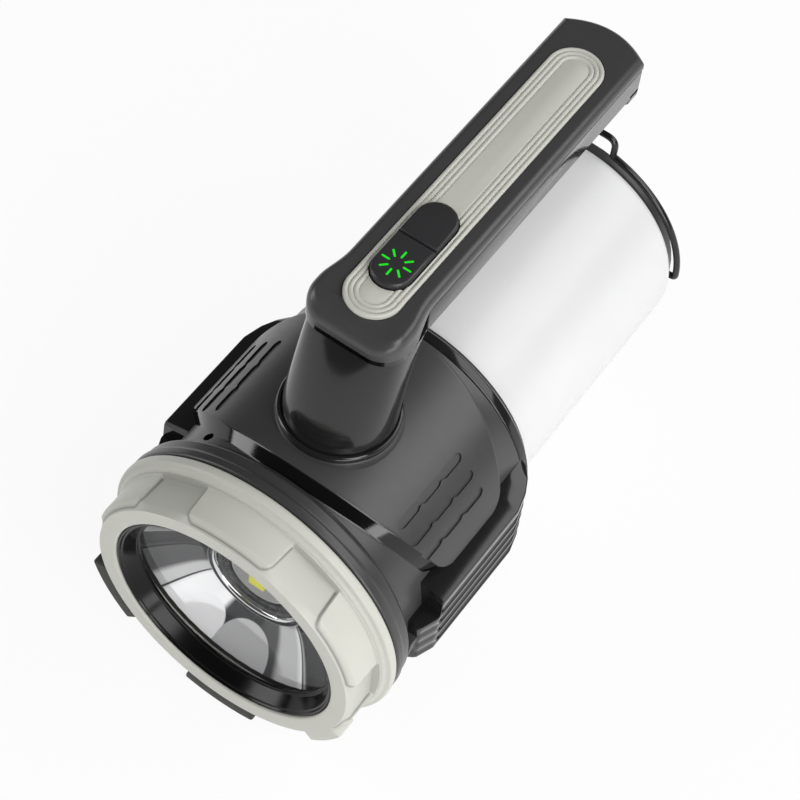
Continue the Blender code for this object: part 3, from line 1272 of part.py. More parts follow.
def make_port(paint, lamp):
    """Charging inlet in the left flank and its hinged rubber flap."""
    face = -PORT_BOSS_FACE
    half_y, half_z, wall = PORT_HALF_LENGTH, PORT_HALF_HEIGHT, PORT_WALL
    low = (face, PORT_STATION - half_y, PORT_LEVEL - half_z)
    high = (face + PORT_DEPTH, PORT_STATION + half_y, PORT_LEVEL + half_z)
    socket = box("charge_port", low, high, paint["steel"], lamp)
    low = (face - OVERRUN, PORT_STATION - half_y + wall, PORT_LEVEL - half_z + wall)
    high = (face + PORT_DEPTH - OVERRUN, PORT_STATION + half_y - wall, PORT_LEVEL + half_z - wall)
    cut(socket, "port_hollow", box_shape(low, high))
    hinge = empty_at("port_cover_pivot", PORT_PIVOT, lamp)
    half = PORT_BOSS_HALF_LENGTH - FLAP_MARGIN
    height = 2 * PORT_BOSS_HALF_HEIGHT - FLAP_MARGIN
    radius = FLAP_THICKNESS / 2
    foot = arc((0, 0), radius, 180, 360, ARC_STEPS)
    flap = prism_shape(foot + [(radius, height), (-radius, height)], -half, half, "XZ")
    flap = finish_mesh("port_cover", flap, paint["rubber"], hinge)
    lift = PORT_LEVEL - PORT_PIVOT[2]
    reach = radius + GAP + FLAP_PLUG_LENGTH
    lip_y, lip_z = half_y - wall - GAP, half_z - wall - GAP
    join(flap, "flap_plug", box_shape((0, -lip_y, lift - lip_z), (reach, lip_y, lift + lip_z)))


def build():
    clear_scene()
    paint = finishes()
    lamp = empty_at("lamp_axis", (0, -LAMP_MIDDLE, -REST_LEVEL))
    make_bezel(paint, lamp)
    make_bumpers(paint, lamp)
    make_front_glass(paint, lamp)
    make_reflector(paint, lamp)
    make_light_source(paint, lamp)
    make_heat_sink(paint, lamp)
    make_front_collar(paint, lamp)
    make_upper_shell(paint, lamp)
    make_lower_shell(paint, lamp)
    make_feet(paint, lamp)
    make_side_grip("side_grip_left", -1, paint, lamp)
    make_side_grip("side_grip_right", 1, paint, lamp)
    make_screws(paint, lamp)
    make_rear_collar(paint, lamp)
    make_diffuser(paint, lamp)
    make_lantern_light(paint, lamp)
    make_rear_cap(paint, lamp)
    make_bail(paint, lamp)
    make_handle_frame(paint, lamp)
    make_post_ring(paint, lamp)
    make_handle_cover(paint, lamp)
    make_inlay(paint, lamp)
    make_buttons(paint, lamp)
    make_switches(paint, lamp)
    make_cells(paint, lamp)
    make_battery_tray(paint, lamp)
    make_driver(paint, lamp)
    make_port(paint, lamp)


build()
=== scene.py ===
# %% [markdown]
# Portable searchlight lantern.
# The packed solids give every place and every motion. This lesson dresses them: each visible
# part is modelled again with round edges and fine curves, and gets a finish made from nodes.
# The solids come first, because every later piece rides on one of their bodies.

import json
import math

import bmesh
import bpy
from mathutils import Matrix, Vector


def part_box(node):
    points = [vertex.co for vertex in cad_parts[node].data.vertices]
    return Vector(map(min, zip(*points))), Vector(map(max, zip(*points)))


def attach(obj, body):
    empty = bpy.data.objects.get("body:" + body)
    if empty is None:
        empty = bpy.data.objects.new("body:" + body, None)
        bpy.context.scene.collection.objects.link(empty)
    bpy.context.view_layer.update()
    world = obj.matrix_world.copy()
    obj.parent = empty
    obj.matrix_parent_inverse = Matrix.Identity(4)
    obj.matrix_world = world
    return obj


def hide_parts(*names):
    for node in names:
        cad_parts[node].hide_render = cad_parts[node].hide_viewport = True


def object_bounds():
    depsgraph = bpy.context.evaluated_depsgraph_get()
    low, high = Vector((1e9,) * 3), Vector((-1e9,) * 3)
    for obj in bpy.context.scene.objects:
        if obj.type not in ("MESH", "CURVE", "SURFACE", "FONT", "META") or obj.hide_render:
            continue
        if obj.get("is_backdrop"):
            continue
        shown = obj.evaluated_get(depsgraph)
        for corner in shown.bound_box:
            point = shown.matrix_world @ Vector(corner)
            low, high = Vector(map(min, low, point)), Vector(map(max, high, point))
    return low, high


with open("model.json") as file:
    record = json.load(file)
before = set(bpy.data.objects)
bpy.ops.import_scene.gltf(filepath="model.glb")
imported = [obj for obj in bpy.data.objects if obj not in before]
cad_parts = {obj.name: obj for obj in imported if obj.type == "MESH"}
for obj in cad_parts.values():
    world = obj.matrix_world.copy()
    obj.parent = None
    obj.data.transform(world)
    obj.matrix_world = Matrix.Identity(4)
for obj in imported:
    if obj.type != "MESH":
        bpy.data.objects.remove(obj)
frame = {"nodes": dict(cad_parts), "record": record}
solid_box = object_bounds()

# %% [markdown]
# All shapes below are written in millimetres in the lamp's own frame: the lamp's axis is Y, the
# back of the bezel's flange is at y = 0, the lens looks along -Y and the handle stands up along Z.
# The front collar is a plain ring on that axis, so its box tells where the frame lies.

# %% The lamp's own frame
MM = 0.001
GAP = 0.3
WELD = 0.004
ALONG, ACROSS, UP = Vector((0, 1, 0)), Vector((1, 0, 0)), Vector((0, 0, 1))
collar_low, collar_high = (Vector(corner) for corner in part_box("front_collar"))
LAMP_ORIGIN = Vector((0, collar_low.y - GAP * MM, (collar_low.z + collar_high.z) / 2))
TO_WORLD = Matrix.Translation(LAMP_ORIGIN) @ Matrix.Scale(MM, 4)
print("lamp origin in metres:", tuple(round(v, 5) for v in LAMP_ORIGIN))

# %% [markdown]
# The camera looks down on the lamp from the front right and is rolled a little. It could be
# turned by eye until the picture fits, but round rims give more: each shows as an ellipse whose
# shape tells the angle. The distance and the pixel of the lamp's origin came from those rims.

# %% Camera
PICTURE_SIDE = 800
ORIGIN_PIXEL = (258.0, 580.4)
CAMERA_AZIMUTH, CAMERA_ELEVATION, CAMERA_ROLL = (math.radians(v) for v in (28.41, 56.29, 7.92))
CAMERA_DISTANCE = 743 * MM
CAMERA_LENS, SENSOR_WIDTH = 114.4, 36.0


def camera_axes():
    """The picture's right and up, and the way back from the lamp to the camera."""
    ca, sa = math.cos(CAMERA_AZIMUTH), math.sin(CAMERA_AZIMUTH)
    ce, se = math.cos(CAMERA_ELEVATION), math.sin(CAMERA_ELEVATION)
    cr, sr = math.cos(CAMERA_ROLL), math.sin(CAMERA_ROLL)
    right, up = Vector((ca, sa, 0)), Vector((-sa * se, ca * se, ce))
    return right * cr + up * sr, up * cr - right * sr, Vector((sa * ce, -ca * ce, se))


def make_camera():
    right, up, back = camera_axes()
    focal_pixels = CAMERA_LENS / SENSOR_WIDTH * PICTURE_SIDE
    step = CAMERA_DISTANCE / focal_pixels
    aside = (PICTURE_SIDE / 2 - ORIGIN_PIXEL[0]) * step
    above = (ORIGIN_PIXEL[1] - PICTURE_SIDE / 2) * step
    data = bpy.data.cameras.new("camera")
    data.lens, data.sensor_width = CAMERA_LENS, SENSOR_WIDTH
    camera = bpy.data.objects.new("camera", data)
    bpy.context.collection.objects.link(camera)
    place = LAMP_ORIGIN + back * CAMERA_DISTANCE + right * aside + up * above
    camera.matrix_world = Matrix.Translation(place) @ Matrix((right, up, back)).transposed().to_4x4()
    bpy.context.scene.camera = camera
    return camera


print("camera at", tuple(round(v, 3) for v in make_camera().matrix_world.translation))

# %% [markdown]
# A finish changes a little from place to place, and in Blender such a change is a net of nodes.
# The nodes could be made and linked one by one, but then a plain sum takes six lines. Instead a
# small class wraps a number that varies over the surface, and Python's own sums add the nodes.

# %% A number over the surface


class Value:
    """A number that varies over a surface. Sums with it add Math nodes."""

    def __init__(self, finish, socket):
        self.finish, self.socket = finish, socket

    def math(self, operation, *others):
        inputs = dict(enumerate((self,) + others))
        made = self.finish.node("ShaderNodeMath", {"operation": operation}, inputs)
        return Value(self.finish, made.outputs[0])

    def __add__(self, other):
        return self.math("ADD", other)

    def __sub__(self, other):
        return self.math("SUBTRACT", other)

    def __mul__(self, other):
        return self.math("MULTIPLY", other)

    def __rsub__(self, other):
        return self * -1 + other

    __radd__, __rmul__ = __add__, __mul__

    def ramp(self, start, end):
        """Runs smoothly from 0 where the value is start to 1 where it is end."""
        inputs = {"Value": self, "From Min": start, "From Max": end}
        made = self.finish.node("ShaderNodeMapRange", {"interpolation_type": "SMOOTHSTEP"}, inputs)
        return Value(self.finish, made.outputs["Result"])


print("a Value knows:", sorted(name for name in vars(Value) if not name.endswith("__")))

# %% [markdown]
# A finish itself is one material with Blender's Principled shader. Its sockets could be set by
# hand in each finish, which repeats a lot. A second class does it by name, and one method adds
# any other node. Patterns read the place on the object in millimetres, so none of them slides.

# %% A finish and its nodes


class Finish:
    """A material whose Principled shader is fed by name."""

    def __init__(self, name, **settings):
        self.material = bpy.data.materials.new(name)
        self.material.use_nodes = True
        self.tree = self.material.node_tree
        self.shader = self.tree.nodes["Principled BSDF"]
        for key, value in settings.items():
            self.set(key.replace("_", " ").title().replace("Ior", "IOR"), value)

    def set(self, socket, value):
        self.feed(self.shader.inputs[socket], value)

    def get(self, socket):
        """What feeds a socket of the shader so far."""
        return Value(self, self.shader.inputs[socket].links[0].from_socket)

    def node(self, kind, settings=None, inputs=None):
        made = self.tree.nodes.new(kind)
        for key, value in (settings or {}).items():
            setattr(made, key, value)
        for key, value in (inputs or {}).items():
            self.feed(made.inputs[key], value)
        return made

    def feed(self, socket, value):
        if isinstance(value, Value):
            value = value.socket
        if isinstance(value, bpy.types.NodeSocket):
            self.tree.links.new(value, socket)
        elif socket.type == "RGBA":
            socket.default_value = (*value, 1.0)
        else:
            socket.default_value = value

    def millimetres(self, stretch=None):
        """The point on the surface in the lamp's own frame, in millimetres."""
        coords = self.node("ShaderNodeTexCoord").outputs["Object"]
        inputs = {0: coords, 1: LAMP_ORIGIN}
        shifted = self.node("ShaderNodeVectorMath", {"operation": "SUBTRACT"}, inputs)
        inputs = {0: shifted.outputs[0], "Scale": 1 / MM}
        point = self.node("ShaderNodeVectorMath", {"operation": "SCALE"}, inputs)
        if stretch:
            inputs = {0: point.outputs[0], 1: stretch}
            point = self.node("ShaderNodeVectorMath", {"operation": "MULTIPLY"}, inputs)
        return point.outputs[0]

    def xyz(self):
        parts = self.node("ShaderNodeSeparateXYZ", None, {0: self.millimetres()})
        return [Value(self, parts.outputs[axis]) for axis in "XYZ"]

    def noise(self, scale, detail=3.0, roughness=0.5, stretch=None):
        inputs = {"Vector": self.millimetres(stretch), "Scale": scale, "Detail": detail}
        made = self.node("ShaderNodeTexNoise", None, {**inputs, "Roughness": roughness})
        return Value(self, made.outputs[0])

    def attribute(self, name):
        made = self.node("ShaderNodeAttribute", {"attribute_name": name})
        return Value(self, made.outputs["Fac"])

    def mix(self, factor, first, second):
        inputs = {"Factor": factor, 6: first, 7: second}
        made = self.node("ShaderNodeMix", {"data_type": "RGBA"}, inputs)
        return made.outputs[2]

    def bump(self, height, strength, distance=0.02 * MM):
        inputs = {"Height": height, "Strength": strength, "Distance": distance}
        self.set("Normal", self.node("ShaderNodeBump", None, inputs).outputs[0])


print("a Finish knows:", sorted(name for name in vars(Finish) if not name.endswith("__")))

# %% [markdown]
# Most of the lamp is moulded plastic, which is never quite even: its colour drifts a little, its
# gloss changes where hands and the mould have polished it, and a fine grain from the mould breaks
# up the highlights. A picture could be laid over it, but noise has no seams and needs no map.

# %% Moulded plastics


def moulded(name, dark, light, rough_low, rough_high, grain=0.25, grain_scale=6.0, **settings):
    """Plastic between two close colours and two close roughnesses, with a fine grain."""
    made = Finish(name, **settings)
    made.set("Base Color", made.mix(made.noise(0.06, 2.0), dark, light))
    made.set("Roughness", made.noise(0.35, 4.0) * (rough_high - rough_low) + rough_low)
    made.bump(made.noise(grain_scale, 2.0), grain)
    return made


SATIN = moulded("satin_black", (0.036, 0.036, 0.037), (0.046, 0.046, 0.047), 0.28, 0.38, 0.2).material
GLOSS = moulded("gloss_black", (0.010, 0.010, 0.010), (0.015, 0.015, 0.015), 0.07, 0.14, 0.04).material
RUBBER = moulded("black_rubber", (0.022, 0.022, 0.019), (0.034, 0.034, 0.030), 0.55, 0.75, 0.6,
                 3.0).material
print("moulded finishes:", SATIN.name, GLOSS.name, RUBBER.name)

# %% [markdown]
# Two plastics need more. On the pale bezel the foot of each raised pad and the panels between the
# pads lie in a soft shade. The black body has walls that turn away from every lamp and show
# darker than the rest. The light alone could make both, but then nothing would set how dark they
# are. So this shade is painted into the colour: the mesh carries numbers, written when it is
# shaped, and the finish reads them.

# %% Pale and black body plastic, with painted shade
PAD_FOOT_SHADE, PANEL_SHADE, WALL_GLOSS = 0.75, 0.30, 0.75


def pale_plastic():
    made = moulded("pale_plastic", (0.53, 0.53, 0.48), (0.56, 0.56, 0.51), 0.36, 0.46, 0.18)
    # Painted shade: the pads' feet and the panels between them are darkened towards a dark grey.
    shade = made.attribute("pad_foot_shade") * PAD_FOOT_SHADE + made.attribute("panel") * PANEL_SHADE
    made.set("Base Color", made.mix(shade, made.get("Base Color"), (0.16, 0.16, 0.15)))
    return made.material


def body_plastic():
    made = moulded("body_black", (0.044, 0.044, 0.045), (0.054, 0.054, 0.055), 0.26, 0.38, 0.2)
    wall_shade = made.attribute("wall_shade")
    # Painted shade: walls marked on the mesh are darkened almost to black.
    made.set("Base Color", made.mix(wall_shade, made.get("Base Color"), (0.002, 0.002, 0.002)))
    made.set("Roughness", made.get("Roughness") * (1 - wall_shade * WALL_GLOSS))
    return made.material


PALE, BODY = pale_plastic(), body_plastic()
print("plastics that read the mesh:", PALE.name, BODY.name)

# %% [markdown]
# Light enters the opal sleeve and comes out a little way off, which softens its shading. Real
# glass could bend the light through the lens, but that is slow and noisy, and a flat lens hardly
# bends it. So the clear plastic is a thin veil, almost see-through, that keeps its reflections.
# Metals get a grain, which a stretch turns into the streaks of a brush.

# %% Opal, clear plastic and metals
SCATTER = (4 * MM, 4 * MM, 4 * MM)
METAL_GRAIN, METAL_DETAIL = 1.5, 2.0


def opal():
    made = Finish("opal_plastic", subsurface_weight=0.25, subsurface_radius=SCATTER, ior=1.47)
    made.set("Base Color", made.mix(made.noise(0.03, 2.0), (0.68, 0.68, 0.685), (0.73, 0.73, 0.73)))
    made.set("Roughness", made.noise(0.2, 3.0) * 0.10 + 0.20)
    return made.material


def clear_plastic():
    made = Finish("clear_plastic", ior=1.49)
    made.set("Base Color", made.mix(made.noise(0.1), (0.16, 0.17, 0.18), (0.20, 0.21, 0.22)))
    made.set("Roughness", made.noise(0.4) * 0.02 + 0.02)
    made.set("Alpha", made.noise(0.2) * 0.02 + 0.05)
    return made.material


def metal(name, dark, light, rough, stretch=None):
    made = Finish(name, metallic=1.0)
    grain = made.noise(METAL_GRAIN, METAL_DETAIL, stretch=stretch)
    made.set("Base Color", made.mix(grain, dark, light))
    made.set("Roughness", grain * 0.12 + rough)
    return made.material


OPAL, CLEAR = opal(), clear_plastic()
CHROME = metal("bright_chrome", (0.80, 0.81, 0.82), (0.90, 0.90, 0.91), 0.05)
print("clear finishes and chrome:", OPAL.name, CLEAR.name, CHROME.name)

# %% [markdown]
# Nearly every moulded part of the lamp is round about one axis or has one outline all along. Both
# start as a line of points. A sharp corner looks wrong on plastic, because a mould leaves a small
# round that catches a highlight, so a first helper rounds the corners of such a line.
# A second helper spins the line about an axis, as a lathe would. Spinning is Blender's own tool
# for round parts and closes the ring by itself.

# %% Round corners and spun shapes
CORNER_REACH = 0.48


def rounded(outline, setback, steps=4, closed=True):
    """Rounds the corners of an outline, each no further than halfway along its sides."""
    made = []
    last = len(outline) - 1
    for i, point in enumerate(outline):
        corner = Vector(point)
        if not closed and i in (0, last):
            made.append(corner)
            continue
        to_before = Vector(outline[i - 1]) - corner
        to_after = Vector(outline[(i + 1) % len(outline)]) - corner
        reach = min(setback, to_before.length * CORNER_REACH, to_after.length * CORNER_REACH)
        start, end = corner + to_before.normalized() * reach, corner + to_after.normalized() * reach
        for k in range(steps + 1):
            share = k / steps
            made.append(start.lerp(corner, share).lerp(corner.lerp(end, share), share))
    return [tuple(point) for point in made]


def lathe(profile, sides=160, centre=(0, 0, 0), axis=ALONG, turn=math.tau, start=0.0):
    """Spins (radius, station) points. A profile off the axis is closed into a ring."""
    shape = bmesh.new()
    across = Matrix.Rotation(start, 3, axis) @ ACROSS
    middle = Vector(centre)
    verts = [shape.verts.new(middle + across * r + axis * s) for r, s in profile]
    edges = [shape.edges.new(pair) for pair in zip(verts, verts[1:])]
    if profile[0][0] > 0:
        edges.append(shape.edges.new((verts[-1], verts[0])))
    bmesh.ops.spin(
        shape, geom=verts + edges, cent=middle, axis=axis, angle=turn, steps=sides,
        use_merge=turn == math.tau, use_duplicate=False,
    )
    bmesh.ops.remove_doubles(shape, verts=shape.verts, dist=WELD)
    rim = [edge for edge in shape.edges if edge.is_boundary]
    if rim:
        bmesh.ops.holes_fill(shape, edges=rim, sides=0)
    return shape


print("corners reach at most", CORNER_REACH, "of a side")

# %% [markdown]
# A shape becomes a piece of the lamp in the same few steps each time: weld it, turn its faces
# outwards, bring it from millimetres to the frame, shade it smoothly but keep real edges sharp,
# give it its finish, and let it ride on a body in place of the plain solid. One helper does all
# of that, so that no piece misses a step.

# %% Dress a piece


def dress(name, shape, finish, nodes=(), body="lamp", sharp_deg=38):
    """Turns a finished shape into a piece of the object."""
    bmesh.ops.remove_doubles(shape, verts=shape.verts, dist=WELD)
    bmesh.ops.recalc_face_normals(shape, faces=shape.faces)
    bmesh.ops.transform(shape, matrix=TO_WORLD, verts=shape.verts)
    mesh = bpy.data.meshes.new(name)
    shape.to_mesh(mesh)
    shape.free()
    mesh.shade_smooth()
    mesh.set_sharp_from_angle(angle=math.radians(sharp_deg))
    mesh.materials.append(finish)
    made = bpy.data.objects.new(name, mesh)
    bpy.context.collection.objects.link(made)
    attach(made, body)
    if nodes:
        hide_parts(*nodes)
    print(name, len(mesh.polygons), "faces")
    return made


# %% [markdown]
# The bezel is the pale ring that holds the lens and takes the knocks when the lamp falls. Six
# raised pads stand on it with flatter panels between them. Pads could be blocks that are joined to
# the ring, which leaves hard joints. Here the ring is spun finely and its outer skin is pushed in
# or out: a rounded box, laid round the ring, says how far each point is from the edge of a pad.

# %% Bezel sizes and pads
MOUTH_RADIUS, FRONT_RADIUS, BEZEL_FRONT, BEZEL_INNER = 38.9, 44.5, -18.0, 41.0
PAD_FRONT, PAD_REAR = -15.6, -5.3
PAD_FRONT_RADIUS, PAD_REAR_RADIUS = 46.7, 48.6
PANEL_FRONT_RADIUS, PANEL_REAR_RADIUS, GROOVE_RADIUS = 44.9, 46.7, 47.2
PAD_HALF_LENGTH, PAD_CORNER, PAD_REAR_CORNER, PAD_EDGE, PAD_SETBACK = 15.2, 2.8, 0.6, 0.32, 1.0
PAD_SPREAD = 0.08
PAD_STEP, PAD_COUNT = 60, 6
BEZEL_SIDES, PAD_ROWS, PANEL_HALF_TURN = 960, 34, 12.5
FLANGE_RADIUS = 50.0


def along(value, low, high, first, second):
    """Runs in a straight line from first at low to second at high, and no further."""
    share = min(max((value - low) / (high - low), 0.0), 1.0)
    return first + (second - first) * share


def pad_depth(turn_deg, y):
    """How far a point is outside a pad, negative inside it, in millimetres."""
    middles = (90 + PAD_STEP * k for k in range(PAD_COUNT))
    from_middle = min(abs((turn_deg - middle + 180) % 360 - 180) for middle in middles)
    aside = math.radians(from_middle) * (PAD_FRONT_RADIUS + PAD_REAR_RADIUS) / 2
    half = PAD_HALF_LENGTH + PAD_SPREAD * (y - (PAD_FRONT + PAD_REAR) / 2)
    middle = (BEZEL_FRONT + PAD_SETBACK + PAD_REAR) / 2
    reach = (PAD_REAR - BEZEL_FRONT - PAD_SETBACK) / 2
    corner = PAD_CORNER if y < middle else PAD_REAR_CORNER
    dx, dy = aside - half + corner, abs(y - middle) - reach + corner
    return math.hypot(max(dx, 0), max(dy, 0)) + min(max(dx, dy), 0) - corner


print("depth in the middle of a pad:", round(pad_depth(90, (PAD_FRONT + PAD_REAR) / 2), 2), "mm")

# %% [markdown]
# The ring's profile runs from the mouth over the front face, along the pads in many small rows and
# round the flange. After the spin each point of the pads' rows is moved to the radius that its
# place asks for. On the way it also learns how much painted shade its finish gets: a thin band at
# each pad's foot, and more towards the flange on the panels between the pads.

# %% Bezel


def bezel_profile():
    span = PAD_REAR - BEZEL_FRONT
    rows = [(FRONT_RADIUS, BEZEL_FRONT + span * i / PAD_ROWS) for i in range(1, PAD_ROWS + 1)]
    mouth = [(BEZEL_INNER, -10.8), (MOUTH_RADIUS, -10.8), (MOUTH_RADIUS, BEZEL_FRONT),
             (FRONT_RADIUS, BEZEL_FRONT)]
    flange = [rows[-1], (47.7, -4.6), (48.4, -3.7), (FLANGE_RADIUS - 0.2, -3.3), (FLANGE_RADIUS, -2.2),
              (FLANGE_RADIUS, -0.9), (FLANGE_RADIUS - 0.7, 0), (BEZEL_INNER, 0)]
    return rounded(mouth, 0.7, closed=False) + rows[:-1] + rounded(flange, 1.0, closed=False)


def by_row(y, at_front, at_rear):
    """A radius that grows from the front face to the front of the pads and on to their rear."""
    return min(along(y, BEZEL_FRONT, PAD_FRONT, FRONT_RADIUS, at_front),
               along(y, PAD_FRONT, PAD_REAR, at_front, at_rear))


def bezel_shape():
    shape = lathe(bezel_profile(), BEZEL_SIDES)
    pad_foot_shade, panel_shade = (shape.verts.layers.float.new(name) for name in ("pad_foot_shade", "panel"))
    for vert in shape.verts:
        x, y, z = vert.co
        radius = math.hypot(x, z)
        if y < BEZEL_FRONT + 0.05 or y > PAD_REAR + 0.02 or radius < FRONT_RADIUS - 0.1:
            continue
        turn = math.degrees(math.atan2(z, x))
        depth = pad_depth(turn, y)
        inside = 1 - along(depth, -PAD_EDGE, PAD_EDGE, 0, 1)
        inside = inside * inside * (3 - 2 * inside)
        pad = by_row(y, PAD_FRONT_RADIUS, PAD_REAR_RADIUS)
        panel = by_row(y, PANEL_FRONT_RADIUS, PANEL_REAR_RADIUS)
        off_middle = min(abs((turn + PAD_STEP / 2) % PAD_STEP - PAD_STEP / 2), PANEL_HALF_TURN)
        flatness = (1 / math.cos(math.radians(off_middle)) - 1) * along(y, BEZEL_FRONT, PAD_FRONT, 0, 1)
        wanted = panel * (1 + flatness) * (1 - inside) + pad * inside
        if y > PAD_REAR - 0.05:
            wanted = max(wanted, GROOVE_RADIUS)
        vert.co.x, vert.co.z = x * wanted / radius, z * wanted / radius
        # Painted shade for the panels, and for a thin band at each pad's foot.
        vert[panel_shade] = (1 - inside) * along(y, BEZEL_FRONT, PAD_REAR, 0.15, 1)
        vert[pad_foot_shade] = math.exp(-((depth - 0.25) / 0.3) ** 2) * (1 if y < PAD_REAR - 1 else 0)
    return shape


dress("bezel_skin", bezel_shape(), PALE, ["bezel"])

# %% [markdown]
# Three bumpers sit in the front corners of the lower pads. The left and the bottom one get the black
# rubber finish, which paints the shade that falls on the pads' lower front faces there, and the
# right one has the bezel's own pale colour. A box would leave the curve of the bezel, so each is a
# short stretch of a spun strip. A bevel then rounds the edges, and a helper finds those that are
# sharper than an angle.

# %% Bumpers
BUMPERS = ((-149, 29, 49.7), (-90, 30, 49.7), (-35, 20, 48.4))
BUMPER_INNER, BUMPER_FRONT, BUMPER_REAR, BUMPER_SIDES = 43.2, -17.95, -10.6, 28


def soften(shape, width, angle_deg=40, segments=2, chosen=lambda edge: True):
    """Bevels the edges whose faces meet at more than an angle."""
    bmesh.ops.remove_doubles(shape, verts=shape.verts, dist=WELD)
    bmesh.ops.recalc_face_normals(shape, faces=shape.faces)
    limit = math.radians(angle_deg)
    inner = [edge for edge in shape.edges if len(edge.link_faces) == 2]
    sharp = [edge for edge in inner if edge.calc_face_angle(0) > limit and chosen(edge)]
    bmesh.ops.bevel(
        shape, geom=sharp, offset=width, segments=segments, affect="EDGES",
        profile=0.5, material=-1, clamp_overlap=True,
    )
    return shape


def bumper_shape(turn, span, radius):
    section = [(BUMPER_INNER, BUMPER_FRONT), (radius, BUMPER_FRONT),
               (radius, BUMPER_REAR), (BUMPER_INNER, BUMPER_REAR)]
    start = -math.radians(turn + span / 2)
    return soften(lathe(section, BUMPER_SIDES, turn=math.radians(span), start=start), 1.2, 60, 4)


for number, (turn, span, radius) in enumerate(BUMPERS, 1):
    # Painted shade: the left and bottom bumpers are black to stand for the shade under the bezel.
    finish = PALE if number == len(BUMPERS) else RUBBER
    shape = bumper_shape(turn, span, radius)
    dress(f"bumper_skin_{number}", shape, finish, [f"bezel_bumper_{number}"])

# %% [markdown]
# Inside the mouth a glossy black retainer steps down to the lens like a funnel. Both are round, so
# both are spun. The retainer is the darkest piece of the real lamp, so its black is deeper than the
# body's and mirrors less.

# %% Retainer and lens
RETAINER = moulded("retainer_black", (0.002, 0.002, 0.002), (0.004, 0.004, 0.004), 0.12, 0.18, 0.04,
                   specular_ior_level=0.22).material
retainer = [(38.6, -17.3), (38.0, -17.4), (37.6, -16.5), (37.2, -16.5), (35.4, -12.1), (34.7, -12.3),
            (34.5, -11.1), (38.6, -11.1)]
dress("retainer_skin", lathe(rounded(retainer, 0.35)), RETAINER, ["lens_retainer"])
lens = [(0, -10.5), (40.2, -10.5), (40.2, -8.5), (0, -8.5)]
dress("lens_skin", lathe(rounded(lens, 0.4, closed=False)), CLEAR, ["front_lens"])

# %% [markdown]
# The reflector's bowl is one mirror pressed into panels. Each panel turns the light another way,
# so some look white and some almost black, with a thin dark line where two meet, and two round
# petals sit at the mouth. Pressed panels could be modelled as facets, but what they mirror is a
# room that this scene doesn't have. So the bowl is smooth and its reflections are painted: the
# panels are told apart by the angle round the lamp's axis, each gets a painted reflection from
# almost black to white, the lines and petals are painted too, and a slight glow stands in for
# the light they would mirror.

# %% Panelled mirror with painted reflections
PANEL_LINES = (-167, -141, -51, -13, 38, 90, 142)
PANEL_REFLECTIONS = ((-180, 0.02), (-168, 0.08), (-150, 0.55), (-140, 0.95), (-122, 1.0), (-112, 0.01),
               (-84, 0.06), (-70, 0.50), (-54, 0.80), (-50, 0.01), (-30, 0.15), (-12, 0.90),
               (36, 0.30), (90, 0.95), (142, 0.20))
PETALS = ((-17.0, -31.5, 8.0, 0.92), (-0.5, -36.0, 9.6, 0.50))
PANEL_BLEND_DEG, LINE_HALF_DEG, LINE_DARKNESS, PETAL_EDGE = 2.5, 0.9, 0.9, 0.25


def panelled_mirror():
    made = Finish("panelled_mirror", metallic=0.35, emission_strength=0.34)
    x, _, z = made.xyz()
    angle = z.math("ARCTAN2", x) * math.degrees(1)
    # Painted reflection: each panel's tone, the petals and the dark lines stand for what the mirror would
    # show.
    painted_reflection = PANEL_REFLECTIONS[0][1]
    for (_, first), (turn, second) in zip(PANEL_REFLECTIONS, PANEL_REFLECTIONS[1:]):
        painted_reflection = angle.ramp(turn - PANEL_BLEND_DEG, turn + PANEL_BLEND_DEG) * (second - first) + painted_reflection
    for px, pz, radius, level in PETALS:
        away = ((x - px) * (x - px) + (z - pz) * (z - pz)).math("SQRT")
        inside = away.ramp(radius + PETAL_EDGE, radius - PETAL_EDGE)
        painted_reflection = painted_reflection * (1 - inside) + inside * level
    for turn in PANEL_LINES:
        line = (angle - turn).math("ABSOLUTE").ramp(LINE_HALF_DEG, LINE_HALF_DEG / 2)
        painted_reflection = painted_reflection * (1 - line * LINE_DARKNESS)
    reflection_colour = made.mix(painted_reflection, (0.012, 0.012, 0.013), (0.93, 0.93, 0.94))
    made.set("Base Color", reflection_colour)
    made.set("Emission Color", reflection_colour)
    made.set("Roughness", made.noise(0.3) * 0.06 + 0.05)
    return made.material


PANELLED = panelled_mirror()
print("mirror panels:", len(PANEL_REFLECTIONS), "petals:", len(PETALS))

# %% [markdown]
# The bowl falls quickly behind the lens and flattens towards its throat, where the light source
# sits. A quarter of a sine wave has that fall, so the profile follows one. A second line a little
# behind it gives the wall its thickness, and a flat edge holds the bowl under the lens.

# %% Reflector
BOWL_MOUTH, BOWL_THROAT, BOWL_FRONT, BOWL_FLOOR, BOWL_EDGE = 37.6, 18.6, -8.1, 2.2, 40.2
BOWL_WALL_OUT, BOWL_WALL_BACK = 1.0, 1.2
BOWL_STEPS, BOWL_SIDES = 18, 240


def bowl_profile():
    bowl = []
    for i in range(BOWL_STEPS + 1):
        share = i / BOWL_STEPS
        depth = BOWL_FRONT + (BOWL_FLOOR - BOWL_FRONT) * math.sin(share * math.pi / 2)
        bowl.append((BOWL_MOUTH + (BOWL_THROAT - BOWL_MOUTH) * share, depth))
    back = [(r + BOWL_WALL_OUT, d + BOWL_WALL_BACK) for r, d in reversed(bowl)]
    return bowl + back + [(BOWL_EDGE, BOWL_FRONT + BOWL_WALL_BACK), (BOWL_EDGE, BOWL_FRONT)]


dress("reflector_skin", lathe(bowl_profile(), BOWL_SIDES), PANELLED, ["reflector"])

